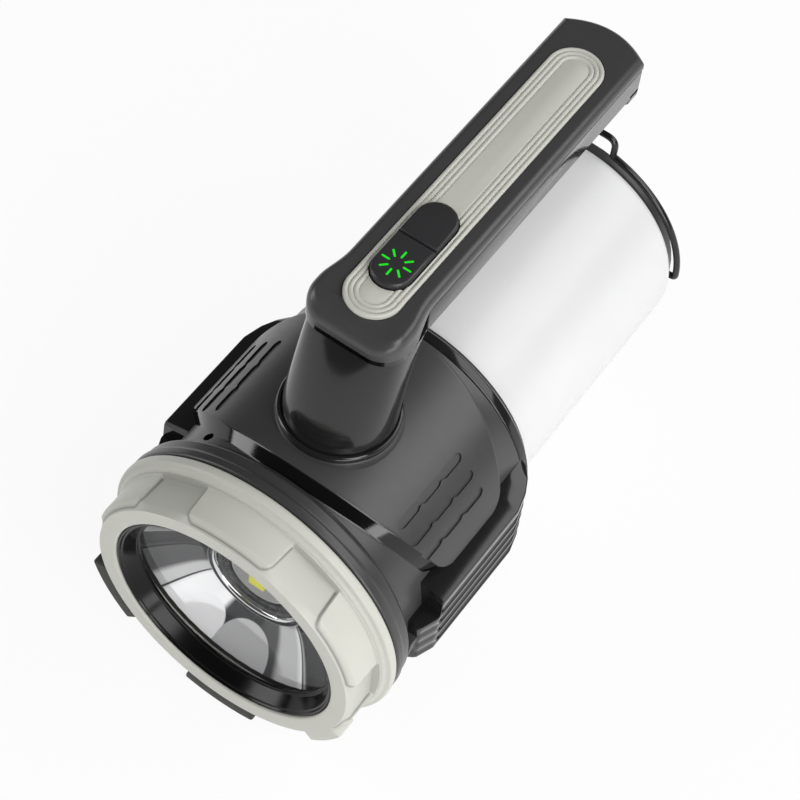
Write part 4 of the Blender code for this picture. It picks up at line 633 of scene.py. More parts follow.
# %% [markdown]
# The light source is a flat yellow chip on a pale disc, under a clear dome. A bright collar rings
# the throat and a dark seat steps down inside it. All are spun but the chip, which is a square
# pushed through. For that a helper makes one face and extrudes it, in any of three planes.
# The chip has a weak painted glow in its own yellow, which stands in for light, so that it stays clear in
# the depth of the bowl.

# %% Light source
PLANES = {
    "XY": lambda a, b, c: (a, b, c),
    "XZ": lambda a, b, c: (a, c, b),
    "YZ": lambda a, b, c: (c, a, b),
}


def prism(outline, low, high, plane="XY"):
    """Pushes an outline through: XY along z, XZ along y and YZ along x."""
    shape = bmesh.new()
    place = PLANES[plane]
    face = shape.faces.new([shape.verts.new(place(a, b, low)) for a, b in outline])
    grown = bmesh.ops.extrude_face_region(shape, geom=[face])
    moved = [item for item in grown["geom"] if isinstance(item, bmesh.types.BMVert)]
    bmesh.ops.translate(shape, verts=moved, vec=Vector(place(0, 0, high - low)))
    return shape


def glowing(name, dark, light, strength):
    """Plastic that also gives off its own colour."""
    made = moulded(name, dark, light, 0.30, 0.45, 0.1, emission_strength=strength)
    made.set("Emission Color", made.mix(made.noise(1.2), dark, light))
    return made.material


LIGHT_DISC = moulded("light_disc", (0.55, 0.55, 0.54), (0.70, 0.70, 0.68), 0.15, 0.3, 0.1).material
DARK_SEAT = moulded("dark_seat", (0.02, 0.02, 0.02), (0.05, 0.05, 0.05), 0.20, 0.35, 0.2).material
# Painted light: the chip's weak glow keeps it clear in the depth of the bowl.
PHOSPHOR = glowing("yellow_phosphor", (0.66, 0.62, 0.03), (0.80, 0.78, 0.06), 0.35)
CHIP_HALF, CHIP_FRONT, CHIP_BACK = 2.7, -1.0, 0.35
DOME_RADIUS, DOME_HEIGHT, DOME_STEPS, DOME_SIDES = 8.8, 3.6, 12, 96

collar = [(18.3, 2.0), (18.3, -0.6), (17.4, -1.6), (15.2, -1.6), (14.6, -0.8), (14.6, 2.0)]
dress("light_collar_skin", lathe(rounded(collar, 0.4)), CHROME, ["led_collar"])
seat = [(14.5, 2.4), (14.5, -0.5), (13.2, -0.2), (12.6, 0.5), (11.8, 0.5), (11.5, 0.0), (10.8, 0.0),
        (10.8, 2.4)]
dress("light_seat", lathe(rounded(seat, 0.2)), DARK_SEAT)
disc = [(0, 3.3), (10.6, 3.3), (10.6, 1.0), (9.9, 0.4), (0, 0.4)]
dress("light_disc", lathe(rounded(disc, 0.2, closed=False)), LIGHT_DISC)
square = [(CHIP_HALF * a, CHIP_HALF * b) for a, b in ((-1, -1), (1, -1), (1, 1), (-1, 1))]
chip = soften(prism(square, CHIP_FRONT, CHIP_BACK, "XZ"), 0.3)
dress("light_chip_skin", chip, PHOSPHOR, ["led_chip"])
turns = [math.pi / 2 * i / DOME_STEPS for i in range(DOME_STEPS)]
dome = [(0, 0.4)] + [(DOME_RADIUS * math.cos(a), CHIP_BACK - DOME_HEIGHT * math.sin(a)) for a in turns]
dome.append((0, CHIP_BACK - DOME_HEIGHT))
dress("light_dome_skin", lathe(dome, DOME_SIDES), CLEAR, ["led_dome"])

# %% [markdown]
# A black neck joins the pale bezel to the body. It could be stacked from rings, but a spun profile
# holds all of it as plain points: a ring that stands a little proud, a fine groove and a taper.

# %% Neck
neck = [(42.0, 0.3), (49.2, 0.3), (49.7, 0.9), (49.7, 3.0), (49.3, 3.5), (49.0, 3.6), (48.8, 4.3),
        (48.8, 6.9), (48.3, 7.6), (47.9, 7.6), (46.1, 9.5), (42.0, 9.5)]
dress("neck_skin", lathe(rounded(neck, 0.3)), SATIN, ["front_collar"])

# %% [markdown]
# The upper half of the body has a round core, and a raised saddle lies over its top like a folded
# sheet, with straight leaning ends. The saddle could be a second block that is joined on, but then
# its ends meet the core in a ragged line. Here the shell is lofted column by column round the
# lamp's axis. Each column is a profile from front to rear: core, slope up to the saddle, saddle,
# slope down, core. The slopes' places follow the height of the saddle, so its ends lean, and near
# its foot they curve away into round corners.

# %% Columns of the upper body
CORE_RADIUS, CORE_START, CORE_END, REAR_RADIUS, SHELL_INNER = 44.3, 9.8, 73.0, 44.2, 42.4
SADDLE_RADIUS, SADDLE_DROP, SADDLE_FOOT = 48.8, 1.8, 15.0
SADDLE_LEAN = math.tan(math.radians(24.5))
SADDLE_TOP = SADDLE_RADIUS - SADDLE_DROP
SADDLE_FRONT, SADDLE_REAR, FRONT_SLOPE, REAR_SLOPE = 13.5, 71.2, 3.6, 1.2
FOOT_CORNER, FOOT_SLOPE, CREASE, SADDLE_ROWS = 5.0, 0.7, 0.5, 44


def saddle_reach(turn):
    """How far the saddle's skin is from the lamp's axis in one direction."""
    across = SADDLE_DROP * math.cos(turn)
    return math.sqrt(SADDLE_RADIUS ** 2 - across ** 2) - SADDLE_DROP * math.sin(turn)


def body_column(turn):
    reach = saddle_reach(turn)
    height = reach * math.sin(turn)
    above_foot = (height - SADDLE_FOOT) / max(abs(math.cos(turn)), 0.2)
    rise = min(max(above_foot / FOOT_SLOPE + 1, 0), 1)
    radius = CORE_RADIUS + (reach - CORE_RADIUS) * rise
    short = min(max(FOOT_CORNER - abs(above_foot), 0), FOOT_CORNER)
    curl = FOOT_CORNER - math.sqrt(FOOT_CORNER ** 2 - short ** 2)
    lean = SADDLE_LEAN * (SADDLE_TOP - max(height, SADDLE_FOOT))
    front, rear = SADDLE_FRONT + lean + curl, SADDLE_REAR - lean - curl
    span = [(front + (rear - front) * i / SADDLE_ROWS, radius) for i in range(SADDLE_ROWS + 1)]
    crest = [(front - FRONT_SLOPE, CORE_RADIUS), span[0], span[1]]
    fall = [span[-2], span[-1], (rear + REAR_SLOPE, CORE_RADIUS), (CORE_END, REAR_RADIUS)]
    line = rounded([(CORE_START, CORE_RADIUS)] + crest, CREASE, 3, closed=False)
    line += span[2:-2] + rounded(fall, CREASE, 3, closed=False)
    loop = [(CORE_START, SHELL_INNER)] + line + [(CORE_END, SHELL_INNER)]
    return [(r * math.cos(turn), y, r * math.sin(turn)) for y, r in loop]


def body_turns():
    """Directions of the columns, close together near the saddle's foot on both sides."""
    foot = math.degrees(math.asin(SADDLE_FOOT / SADDLE_RADIUS))
    near = [foot - 1.6 + 0.2 * i for i in range(48)]
    low = [0.2, foot / 3, foot * 2 / 3, foot - 2.4]
    high = [near[-1] + (90 - near[-1]) * i / 58 for i in range(1, 59)]
    right = low + near + high
    return [math.radians(t) for t in right] + [math.radians(180 - t) for t in reversed(right[:-1])]


def loft(loops):
    """Skins closed loops of equally many points, one after the other, and caps both ends."""
    shape = bmesh.new()
    rings = [[shape.verts.new(point) for point in loop] for loop in loops]
    for near, far in zip(rings, rings[1:]):
        for i in range(len(near)):
            shape.faces.new((near[i - 1], near[i], far[i], far[i - 1]))
    shape.faces.new(rings[0])
    shape.faces.new(rings[-1][::-1])
    return shape


columns = [body_column(turn) for turn in body_turns()]
print("columns:", len(columns), "points in each:", len(columns[0]))

# %% [markdown]
# Three rows of long links are engraved in each flank, as a grip pattern, and two small round holes
# mark the top. A pattern in the finish would show no edge from close by, so they are real cuts. A
# boolean takes all the cutters away in one go. It needs two objects for a moment, which a helper
# makes and clears away again.

# %% Engraved links and marks
LINK_TURNS, LINK_COUNT, LINK_LENGTH, LINK_WIDTH, LINK_NECK = (41.3, 49.3, 57.2), 3, 10.4, 3.0, 1.2
LINK_START, LINK_DEPTH = 21.2, 0.6
MARKS, MARK_RADIUS = ((-29.0, 13.4), (-24.0, 58.0)), 1.5


def as_mesh(shape):
    bmesh.ops.recalc_face_normals(shape, faces=shape.faces)
    mesh = bpy.data.meshes.new("shape")
    shape.to_mesh(mesh)
    shape.free()
    return mesh


def joined(*shapes):
    """Several separate shapes as one."""
    whole = bmesh.new()
    for shape in shapes:
        mesh = as_mesh(shape)
        whole.from_mesh(mesh)
        bpy.data.meshes.remove(mesh)
    return whole


def carved(shape, tool):
    """Cuts one shape out of another and gives back what is left."""
    holders = [bpy.data.objects.new("carving", as_mesh(part)) for part in (shape, tool)]
    for holder in holders:
        bpy.context.collection.objects.link(holder)
    step = holders[0].modifiers.new("carve", "BOOLEAN")
    step.operation, step.solver, step.object = "DIFFERENCE", "EXACT", holders[1]
    left = bmesh.new()
    ready = holders[0].evaluated_get(bpy.context.evaluated_depsgraph_get())
    left.from_mesh(ready.to_mesh())
    ready.to_mesh_clear()
    for holder in holders:
        mesh = holder.data
        bpy.data.objects.remove(holder)
        bpy.data.meshes.remove(mesh)
    return left


def link_outline():
    """A chain of long links joined by narrow necks, as one outline."""
    half, neck_half = LINK_WIDTH / 2, LINK_NECK / 2
    right = []
    for k in range(LINK_COUNT):
        start, end = LINK_START + k * LINK_LENGTH, LINK_START + (k + 1) * LINK_LENGTH
        right += [(neck_half, start), (half, start + half), (half, end - half)]
    right.append((neck_half, LINK_START + LINK_COUNT * LINK_LENGTH))
    return rounded(right + [(-x, y) for x, y in reversed(right)], 0.7, 3)


def body_tools():
    pin = [(0, 30), (MARK_RADIUS, 30), (MARK_RADIUS, 60), (0, 60)]
    tools = [lathe(pin, 32, (x, y, 0), UP) for x, y in MARKS]
    for side in (1, -1):
        for turn in LINK_TURNS:
            tool = prism(link_outline(), SADDLE_TOP - LINK_DEPTH, SADDLE_TOP + 2)
            matrix = Matrix.Rotation(math.radians(side * turn), 3, "Y")
            bmesh.ops.rotate(tool, verts=tool.verts, cent=(0, 0, -SADDLE_DROP), matrix=matrix)
            tools.append(tool)
    return joined(*tools)


upper_body = carved(loft(columns), body_tools())
print("upper body after the cuts:", len(upper_body.faces), "faces")

# %% [markdown]
# The saddle's front wall and one side of each link turn away from every lamp and show almost black
# on the real lamp. The black body plastic paints that shade into its colour, and here the mesh tells
# it where the walls are. A wall has sharp borders, so the number is kept for each face's corners: at
# the points of the mesh it would bleed into the faces next to it.

# %% Dark walls with painted shade
FRONT_WALL_END, LINKS_START, LINKS_END = 32, 20, 55


def mark_walls(shape):
    """Marks painted shade on the front wall and the links' left walls, which turn away from the light."""
    wall_shade = shape.loops.layers.float.new("wall_shade")
    bmesh.ops.recalc_face_normals(shape, faces=shape.faces)
    for face in shape.faces:
        x, y, z = face.calc_center_median()
        outward = Vector((x, 0, z + SADDLE_DROP))
        facing = face.normal.dot(outward.normalized())
        in_front = CORE_START + 0.3 < y < FRONT_WALL_END and z > SADDLE_FOOT - 3
        steep = along(-face.normal.y, 0.3, 0.55, 0, 1) if in_front else 0
        near_skin = SADDLE_RADIUS - LINK_DEPTH - 0.2 < outward.length < SADDLE_RADIUS - 0.04
        left = near_skin and LINKS_START < y < LINKS_END and facing < 0.6 and face.normal.x > 0.05
        for loop in face.loops:
            loop[wall_shade] = 1.0 if left else steep


mark_walls(upper_body)
dress("upper_body", upper_body, BODY, ["upper_shell"], sharp_deg=34)

# %% [markdown]
# The handle's post grows out of the body through a low round boss, and a thin glossy ring hides
# the joint. Both are spun like the rest, but about an upright axis through the post's foot.

# %% Post foot
POST_Y, FOOT_SIDES = 36.5, 128
post_foot = (0, POST_Y, 0)
boss = [(0, 44.0), (18.9, 44.0), (18.6, 46.8), (18.4, 47.4), (0, 47.4)]
boss_shape = lathe(rounded(boss, 0.4, closed=False), FOOT_SIDES, post_foot, UP)
dress("post_boss", boss_shape, SATIN, ["upper_shell"])
ring = [(17.0, 47.6), (18.3, 47.6), (18.3, 48.7), (17.9, 49.3), (17.3, 49.5), (17.0, 49.5)]
ring_shape = lathe(rounded(ring, 0.3), FOOT_SIDES, post_foot, UP)
dress("post_ring_skin", ring_shape, GLOSS, ["post_ring"])

# %% [markdown]
# The side grips are long ribbed blocks, one on each flank of the body. One outline pushed
# through would give the ribs, but the real block grows out of the body at the front, has a low
# shoulder there and narrows again at the rear. So its cross-section is drawn anew at every
# station: two tables give its width and its height, and the ribs start behind the shoulder. A loft
# joins the sections, with small round corners that catch a streak of light each.

# %% Side grips
GRIP_IN, GRIP_TOP, GRIP_LOW, GRIP_DEPTH, RIB_COUNT = 41.5, 12.2, -14.8, 2.2, 4
GRIP_FRONT, GRIP_REAR, GRIP_STATIONS = 13.0, 74.0, 90
GRIP_PLAN = ((13.0, 47.9), (13.5, 48.5), (19.0, 50.6), (60.0, 50.6), (66.4, 48.9), (71.0, 46.6),
             (74.0, 44.2))
GRIP_TOPS = ((13.0, 4.8), (13.6, 5.4), (20.0, 5.6), (20.5, 11.4), (21.1, 12.2), (74.0, 12.2))
SHOULDER_END, SHOULDER_RISE = 20.5, 2.4
RIB_START, RIB_FULL = 20.4, 22.4


def between(table, y):
    """Reads a value between the points of a table."""
    for (y0, v0), (y1, v1) in zip(table, table[1:]):
        if y <= y1:
            return along(y, y0, y1, v0, v1)
    return table[-1][1]


def grip_section(y):
    out, top = between(GRIP_PLAN, y), between(GRIP_TOPS, y)
    deep = GRIP_DEPTH * along(y, RIB_START, RIB_FULL, 0.1, 1)
    outline = [(GRIP_IN, GRIP_TOP + SHOULDER_RISE if y > SHOULDER_END else top), (out, top)]
    pitch = (GRIP_TOP - GRIP_LOW) / (RIB_COUNT + 1)
    for i in range(1, RIB_COUNT + 1):
        z = GRIP_TOP - pitch * i
        for offset, depth in ((pitch / 3, 0), (pitch / 8, deep), (-pitch / 8, deep), (-pitch / 3, 0)):
            highest = top - 0.2 * (i + (0 if offset > 0 else 0.1))
            outline.append((out - depth, min(z + offset, highest)))
    outline += [(out, GRIP_LOW + GRIP_DEPTH), (out - GRIP_DEPTH, GRIP_LOW), (GRIP_IN, GRIP_LOW)]
    return rounded(outline, 0.55, 3)


def grip_shape(side):
    length = GRIP_REAR - GRIP_FRONT
    stations = {GRIP_FRONT + length * i / GRIP_STATIONS for i in range(GRIP_STATIONS + 1)}
    stations = sorted(stations | {y for y, _ in GRIP_TOPS})
    shape = loft([[(side * x, y, z) for x, z in grip_section(y)] for y in stations])
    return soften(shape, 0.25, 60, 2)


for name, side in (("left", -1), ("right", 1)):
    dress(f"grip_skin_{name}", grip_shape(side), GLOSS, [f"side_grip_{name}"], sharp_deg=50)

# %% [markdown]
# The lantern at the rear is an opal sleeve in a glossy collar with a thin seal. A ready cylinder
# would have hard ends, but the sleeve is a cup that narrows by less than a millimetre and ends in
# a soft round edge. So all three are spun, and a helper draws the round edge as an arc.

# %% Lantern
SLEEVE_START, SLEEVE_END, SLEEVE_WALL, SLEEVE_EDGE = 74.3, 168.1, 1.8, 3
SLEEVE_RADIUS, SLEEVE_END_RADIUS, SLEEVE_SIDES = 39.7, 39.3, 192


def arc(centre, radius, start_deg, end_deg, steps):
    turns = [math.radians(start_deg + (end_deg - start_deg) * i / steps) for i in range(steps + 1)]
    return [(centre[0] + radius * math.cos(t), centre[1] + radius * math.sin(t)) for t in turns]


rear_collar = [(40.1, 73.3), (43.8, 73.3), (44.2, 73.8), (44.2, 76.4), (43.3, 77.3), (40.1, 77.3)]
dress("rear_collar_skin", lathe(rounded(rear_collar, 0.35)), GLOSS, ["rear_collar"])
seal = [(40.1, 77.6), (42.2, 77.6), (42.2, 78.8), (40.1, 78.8)]
dress("seal_skin", lathe(rounded(seal, 0.4)), RUBBER, ["diffuser_seal"])
inner_end = SLEEVE_END - SLEEVE_WALL
sleeve = [(0, inner_end), (SLEEVE_END_RADIUS - SLEEVE_WALL - 2, inner_end)]
sleeve += [(SLEEVE_RADIUS - SLEEVE_WALL, SLEEVE_START), (SLEEVE_RADIUS, SLEEVE_START)]
sleeve += arc((SLEEVE_END_RADIUS - SLEEVE_EDGE, SLEEVE_END - SLEEVE_EDGE), SLEEVE_EDGE, 0, 90, 12)
sleeve.append((0, SLEEVE_END))
dress("sleeve_skin", lathe(sleeve, SLEEVE_SIDES), OPAL, ["diffuser"])

# %% [markdown]
# The hook is one bent wire: an arc round the cap with a square hump for hanging, and two short
# ends that turn in to the cap, where it swings. A curve with a round bevel is the quickest way to
# a wire, because only its route is drawn. It is then made a mesh, so that it can turn with the
# hook's body.

# %% Wire hook
HOOK_RADIUS, WIRE_RADIUS, HOOK_Y, HOOK_END = 39.5, 1.1, 170.3, 32.3
HUMP_HALF, HUMP_TOP, HUMP_CORNER = 9.2, 45.9, 4.4
COATED_WIRE = moulded("coated_wire", (0.008, 0.008, 0.008), (0.012, 0.012, 0.012), 0.10, 0.18,
                      0.05).material


def hook_route():
    foot = math.degrees(math.acos(HUMP_HALF / HOOK_RADIUS))
    side = [(HOOK_END, 0), (HOOK_RADIUS, 0)] + arc((0, 0), HOOK_RADIUS, 5, foot, 28)
    side = rounded(side + [(HUMP_HALF, HUMP_TOP), (0, HUMP_TOP)], HUMP_CORNER, 8, closed=False)
    return side + [(-x, z) for x, z in reversed(side[:-1])]


def hook_shape():
    curve = bpy.data.curves.new("hook_route", "CURVE")
    curve.dimensions, curve.use_fill_caps = "3D", True
    curve.bevel_depth, curve.bevel_resolution = WIRE_RADIUS, 5
    route = hook_route()
    spline = curve.splines.new("POLY")
    spline.points.add(len(route) - 1)
    for point, (x, z) in zip(spline.points, route):
        point.co = (x, HOOK_Y, z, 1)
    holder = bpy.data.objects.new("hook_route", curve)
    mesh = bpy.data.meshes.new_from_object(holder)
    shape = bmesh.new()
    shape.from_mesh(mesh)
    bpy.data.objects.remove(holder)
    bpy.data.meshes.remove(mesh)
    bpy.data.curves.remove(curve)
    return shape


dress("hook_skin", hook_shape(), COATED_WIRE, ["bail"], body="hook")

# %% [markdown]
# The post carries the handle. It flows from a round foot into a squarer head that leans back.
# Sections could be drawn one by one, but the change is smooth all the way up,
# so the post starts as a spun tube of many rings, and each ring is moved back, narrowed and
# squared by how high it is.

# %% Handle post
POST_FOOT, POST_TOP, POST_RADIUS = 47.7, 81.5, 16.9
HEAD_Y, HEAD_HALF_WIDTH, HEAD_HALF_DEPTH = 46.5, 15.7, 12.6
POST_ROWS, POST_SIDES, LEAN_POWER, SQUARE_POWER = 30, 128, 1.45, 3


def post_shape():
    height = POST_TOP - POST_FOOT
    rows = [(POST_RADIUS, POST_FOOT + height * i / POST_ROWS) for i in range(POST_ROWS + 1)]
    shape = lathe([(0, POST_FOOT)] + rows + [(0, POST_TOP)], POST_SIDES, axis=UP)
    for vert in shape.verts:
        share = (vert.co.z - POST_FOOT) / height
        lean = share ** LEAN_POWER
        power = 2 / (2 + share ** SQUARE_POWER)
        away = vert.co.xy.length / POST_RADIUS
        c, s = (vert.co.xy.normalized() if away else Vector((0, 0)))
        half_width = POST_RADIUS + (HEAD_HALF_WIDTH - POST_RADIUS) * lean
        half_depth = POST_RADIUS + (HEAD_HALF_DEPTH - POST_RADIUS) * lean
        middle = POST_Y + (HEAD_Y - POST_Y) * lean
        vert.co.x = away * half_width * math.copysign(abs(c) ** power, c)
        vert.co.y = middle + away * half_depth * math.copysign(abs(s) ** power, s)
    return shape


dress("post_skin", post_shape(), GLOSS, ["handle_frame"], sharp_deg=50)

# %% [markdown]
# The arm is what the hand closes round: a channel under the cover, moulded in one with the post.
# Its plan is the cover's plan, a little smaller, and its tip reaches a bit lower than the rest, as
# a stop for the hand. A gusset sweeps from the post to it. All three have one outline each, so
# they are pushed through and bevelled, and joined as one piece.

# %% Arm channel
ARM_BOTTOM, ARM_SEAM, ARM_TOP, ARM_HALF, ARM_INSET, ARM_FRONT = 77.7, 87.3, 91.6, 14.2, 0.02, 55.0
TIP_SIDE, TIP_BULGE, LIP_START, LIP_LOW = 165.5, 5.0, 159.5, 75.6
GUSSET = ((49.5, 62.5), (52.6, 69.5), (55.4, 75.2), (59.8, ARM_BOTTOM + 0.6))
GUSSET_HALF = ARM_HALF - 0.8


def tip_outline(half, bulge, steps=24):
    """The bulged end of the arm from right to left."""
    shares = [1 - 2 * i / steps for i in range(1, steps)]
    return [(half * share, TIP_SIDE + bulge * (1 - share ** 2)) for share in shares]


def channel(front, low, high, edge):
    half = ARM_HALF - ARM_INSET
    outline = [(half, front), (half, TIP_SIDE - 0.3)] + tip_outline(half, TIP_BULGE - ARM_INSET)
    outline += [(-half, TIP_SIDE - 0.3), (-half, front)]
    return soften(prism(outline, low, high), edge, 60, 4)


gusset = [(HEAD_Y, 62.5), *GUSSET, (66.0, ARM_BOTTOM + 0.6), (66.0, ARM_SEAM - 1), (54.5, ARM_SEAM - 1),
          (47.0, POST_TOP), (HEAD_Y, POST_TOP)]
root = soften(prism(rounded(gusset, 2.0, 5), -GUSSET_HALF, GUSSET_HALF, "YZ"), 0.7, 60, 3)
bar = channel(ARM_FRONT, ARM_BOTTOM, ARM_SEAM, 0.5)
lip = channel(LIP_START, LIP_LOW, ARM_BOTTOM + 3, 1.2)
dress("arm_skin", joined(bar, lip, root), GLOSS, ["handle_frame"], sharp_deg=50)

# %% [markdown]
# The cover is a long plate over the channel, with a rounded head, a slight neck and a bulged tip.
# Its top edge is well rounded, more at the head than along the arm. Its outline is pushed through
# and only the top edge is bevelled, and then the points are moved: those of the head further
# down, so that its rounding is taller, and those of its front a little lower, so that it dips.

# %% Outline of the handle cover
COVER_LOW, COVER_HEAD_HALF, COVER_FRONT, COVER_CORNER = 81.8, 16.2, 33.8, 8.2
COVER_HEAD_END, COVER_NECK, COVER_EDGE, HEAD_STRETCH = 47.0, 54.5, 3.7, 1.5
HEAD_BEND, HEAD_BEND_END = 0.38, 43.0


def cover_outline():
    right = arc((COVER_HEAD_HALF - COVER_CORNER, COVER_FRONT + COVER_CORNER), COVER_CORNER, 270, 360, 24)
    neck_run = [right[-1], (COVER_HEAD_HALF, COVER_HEAD_END - 1), (ARM_HALF, COVER_NECK),
                (ARM_HALF, TIP_SIDE)]
    right = right[:-1] + rounded(neck_run, 3.0, 8, closed=False)
    return right + tip_outline(ARM_HALF, TIP_BULGE) + [(-x, y) for x, y in reversed(right)]


def cover_plate():
    shape = prism(cover_outline(), COVER_LOW, ARM_TOP)

    def on_top(edge):
        return all(abs(v.co.z - ARM_TOP) < WELD for v in edge.verts)

    soften(shape, COVER_EDGE, 30, 10, on_top)
    for vert in shape.verts:
        if vert.co.z > COVER_LOW + 1:
            stretch = along(vert.co.y, COVER_FRONT + 5, COVER_NECK, HEAD_STRETCH, 1)
            vert.co.z = ARM_TOP - (ARM_TOP - vert.co.z) * stretch
            bend = HEAD_BEND * along(vert.co.y, COVER_FRONT, HEAD_BEND_END, 1, 0) ** 2
            vert.co.z = COVER_LOW + (vert.co.z - COVER_LOW) * (1 - bend)
    return shape


plate = cover_plate()
print("cover before its cuts:", len(plate.faces), "faces")

# %% [markdown]
# Two cuts finish the cover: the room for the channel under it and a shallow seat for the pale
# strip on top. Along its lower edge the real cover meets the arm in a dark seam. Two flat cuts
# through the mesh, which remove nothing, part a narrow band there, and the band gets the painted
# shade of a dark wall, which stands for the shade in the seam.

# %% Handle cover
SEAM_HEIGHTS = (83.7, 88.0)
COVER_UNDER = 87.6
STRIP_HALF, STRIP_FRONT, STRIP_REAR, STRIP_DEPTH = 8.8, 39.5, 157.8, 1.2


def stadium(half, front, rear, steps=32):
    """A long oval: two straight sides with a half circle at each end."""
    return arc((0, front + half), half, 180, 360, steps) + arc((0, rear - half), half, 0, 180, steps)


def cover_shape(shape):
    under = [(COVER_HEAD_END, 79), (COVER_HEAD_END, COVER_LOW), (COVER_NECK, COVER_UNDER),
             (175, COVER_UNDER), (175, 79)]
    shape = carved(shape, prism(under, -20, 20, "YZ"))
    seat = stadium(STRIP_HALF + GAP, STRIP_FRONT - GAP, STRIP_REAR + GAP)
    shape = carved(shape, prism(seat, ARM_TOP - STRIP_DEPTH, ARM_TOP + 2))
    for height in SEAM_HEIGHTS:
        everything = shape.verts[:] + shape.edges[:] + shape.faces[:]
        bmesh.ops.bisect_plane(shape, geom=everything, plane_co=(0, 0, height), plane_no=UP)
    wall_shade = shape.loops.layers.float.new("wall_shade")
    for face in shape.faces:
        _, y, z = face.calc_center_median()
        # Painted shade: the band under the seam cut gets the dark wall's shade.
        dark = z < SEAM_HEIGHTS[0 if y < COVER_NECK else 1]
        for loop in face.loops:
            loop[wall_shade] = 1.0 if dark else 0.0
    return shape


dress("cover_skin", cover_shape(plate), BODY, ["handle_cover"], sharp_deg=30)

# %% [markdown]
# The pale strip in the cover has three round ridges that run round a flat middle. Ridges could be
# swept along the outline as tubes, but they would have to meet exactly. Insetting the top face
# again and again, each time a little higher or lower, follows the outline by itself and gives the
# ridges their round section.

# %% Pale strip
RIDGE_COUNT, RIDGE_WIDTH, RIDGE_HEIGHT, RIDGE_STEPS, RIDGE_POWER = 3, 1.5, 0.55, 10, 0.7
MIDDLE_EDGE, MIDDLE_RISE = 0.5, 0.3
BUTTON_HALF, BUTTON_FRONT, BUTTON_REAR, BUTTON_ROOM = 6.4, 50.5, 84.0, 0.4


def button_hole(spare):
    return prism(stadium(BUTTON_HALF + spare, BUTTON_FRONT - spare, BUTTON_REAR + spare), 80, 99)


def strip_shape():
    outline = stadium(STRIP_HALF, STRIP_FRONT, STRIP_REAR, 48)
    shape = prism(outline, ARM_TOP - STRIP_DEPTH + GAP, ARM_TOP)
    bmesh.ops.recalc_face_normals(shape, faces=shape.faces)
    top = max(shape.faces, key=lambda face: face.calc_center_median().z)
    step = RIDGE_WIDTH / RIDGE_STEPS
    for _ in range(RIDGE_COUNT):
        level = 0.0
        for i in range(1, RIDGE_STEPS + 1):
            wanted = RIDGE_HEIGHT * math.sin(math.pi * i / RIDGE_STEPS) ** RIDGE_POWER
            bmesh.ops.inset_region(shape, faces=[top], thickness=step, depth=wanted - level)
            level = wanted
    bmesh.ops.inset_region(shape, faces=[top], thickness=MIDDLE_EDGE, depth=MIDDLE_RISE)
    return carved(shape, button_hole(BUTTON_ROOM))


dress("strip_skin", strip_shape(), PALE, ["grip_inlay"], sharp_deg=60)

# %% [markdown]
# Two push buttons share one long oval opening in the strip. Each is half of the oval, pushed
# through, with a soft top edge, and its underside leaves room for its travel.

# %% Buttons
BUTTON_SPLIT, BUTTON_TOP = 68.4, 93.9
KEY_TRAVEL, KEY_SPARE = 0.8, 0.1
BUTTON = moulded("button_black", (0.026, 0.025, 0.027), (0.032, 0.031, 0.033), 0.30, 0.40, 0.15).material


def button_shape(near):
    split = BUTTON_SPLIT - GAP / 2 if near else BUTTON_SPLIT + GAP / 2
    if near:
        outline = arc((0, BUTTON_FRONT + BUTTON_HALF), BUTTON_HALF, 180, 360, 36)
        outline += [(BUTTON_HALF, split), (-BUTTON_HALF, split)]
    else:
        outline = arc((0, BUTTON_REAR - BUTTON_HALF), BUTTON_HALF, 0, 180, 36)
        outline += [(-BUTTON_HALF, split), (BUTTON_HALF, split)]
    shape = prism(outline, ARM_TOP - STRIP_DEPTH + KEY_TRAVEL + KEY_SPARE, BUTTON_TOP)

    def on_top(edge):
        return all(abs(v.co.z - BUTTON_TOP) < WELD for v in edge.verts)

    return soften(shape, 0.9, 30, 5, on_top)


near_button, far_button = button_shape(True), button_shape(False)
print("button faces:", len(near_button.faces), "and", len(far_button.faces))

# %% [markdown]
# The front button carries a ring of eight glowing bars, the tips of a clear plastic light guide
# that comes up through slots in the button. Painted bars would look flat from close by. So the
# slots are cut, and the same bar, a little smaller, fills each of them level with the top.

# %% Glowing bars
ICON_Y, RAY_COUNT, RAY_START, RAY_END, RAY_WIDTH = 58.3, 8, 2.2, 4.9, 0.6
SLOT_SPARE, SLOT_DEPTH, RAY_DEPTH = 0.05, 0.5, 0.6
GREEN = glowing("green_guide", (0.004, 0.42, 0.006), (0.006, 0.50, 0.008), 0.9)


def ray_shape(number, spare, low, high):
    half = RAY_WIDTH / 2 + spare
    start, end = RAY_START - spare, RAY_END + spare
    outline = arc((start + half, 0), half, 90, 270, 8) + arc((end - half, 0), half, -90, 90, 8)
    shape = prism(outline, low, high)
    turn = Matrix.Rotation(number * math.tau / RAY_COUNT, 3, "Z")
    bmesh.ops.rotate(shape, verts=shape.verts, cent=(0, 0, 0), matrix=turn)
    bmesh.ops.translate(shape, verts=shape.verts, vec=(0, ICON_Y, 0))
    return shape


def ray_ring(spare, low, high):
    return joined(*(ray_shape(number, spare, low, high) for number in range(RAY_COUNT)))


slotted = carved(near_button, ray_ring(SLOT_SPARE, BUTTON_TOP - SLOT_DEPTH, BUTTON_TOP + 1))
dress("power_button_skin", slotted, BUTTON, ["power_button"], "power_key")
dress("mode_button_skin", far_button, BUTTON, ["mode_button"], "mode_key")
rays = ray_ring(0, BUTTON_TOP - RAY_DEPTH, BUTTON_TOP)
dress("icon_skin", rays, GREEN, ["icon_light_guide"], "power_key")

# %% [markdown]
# What is left needs plainer finishes: lacquered boards, white mouldings, printed cell sleeves and
# two bare metals. The record gives each solid a slot, the name of what it is made of, so a table
# from slots to finishes dresses all of them at once.

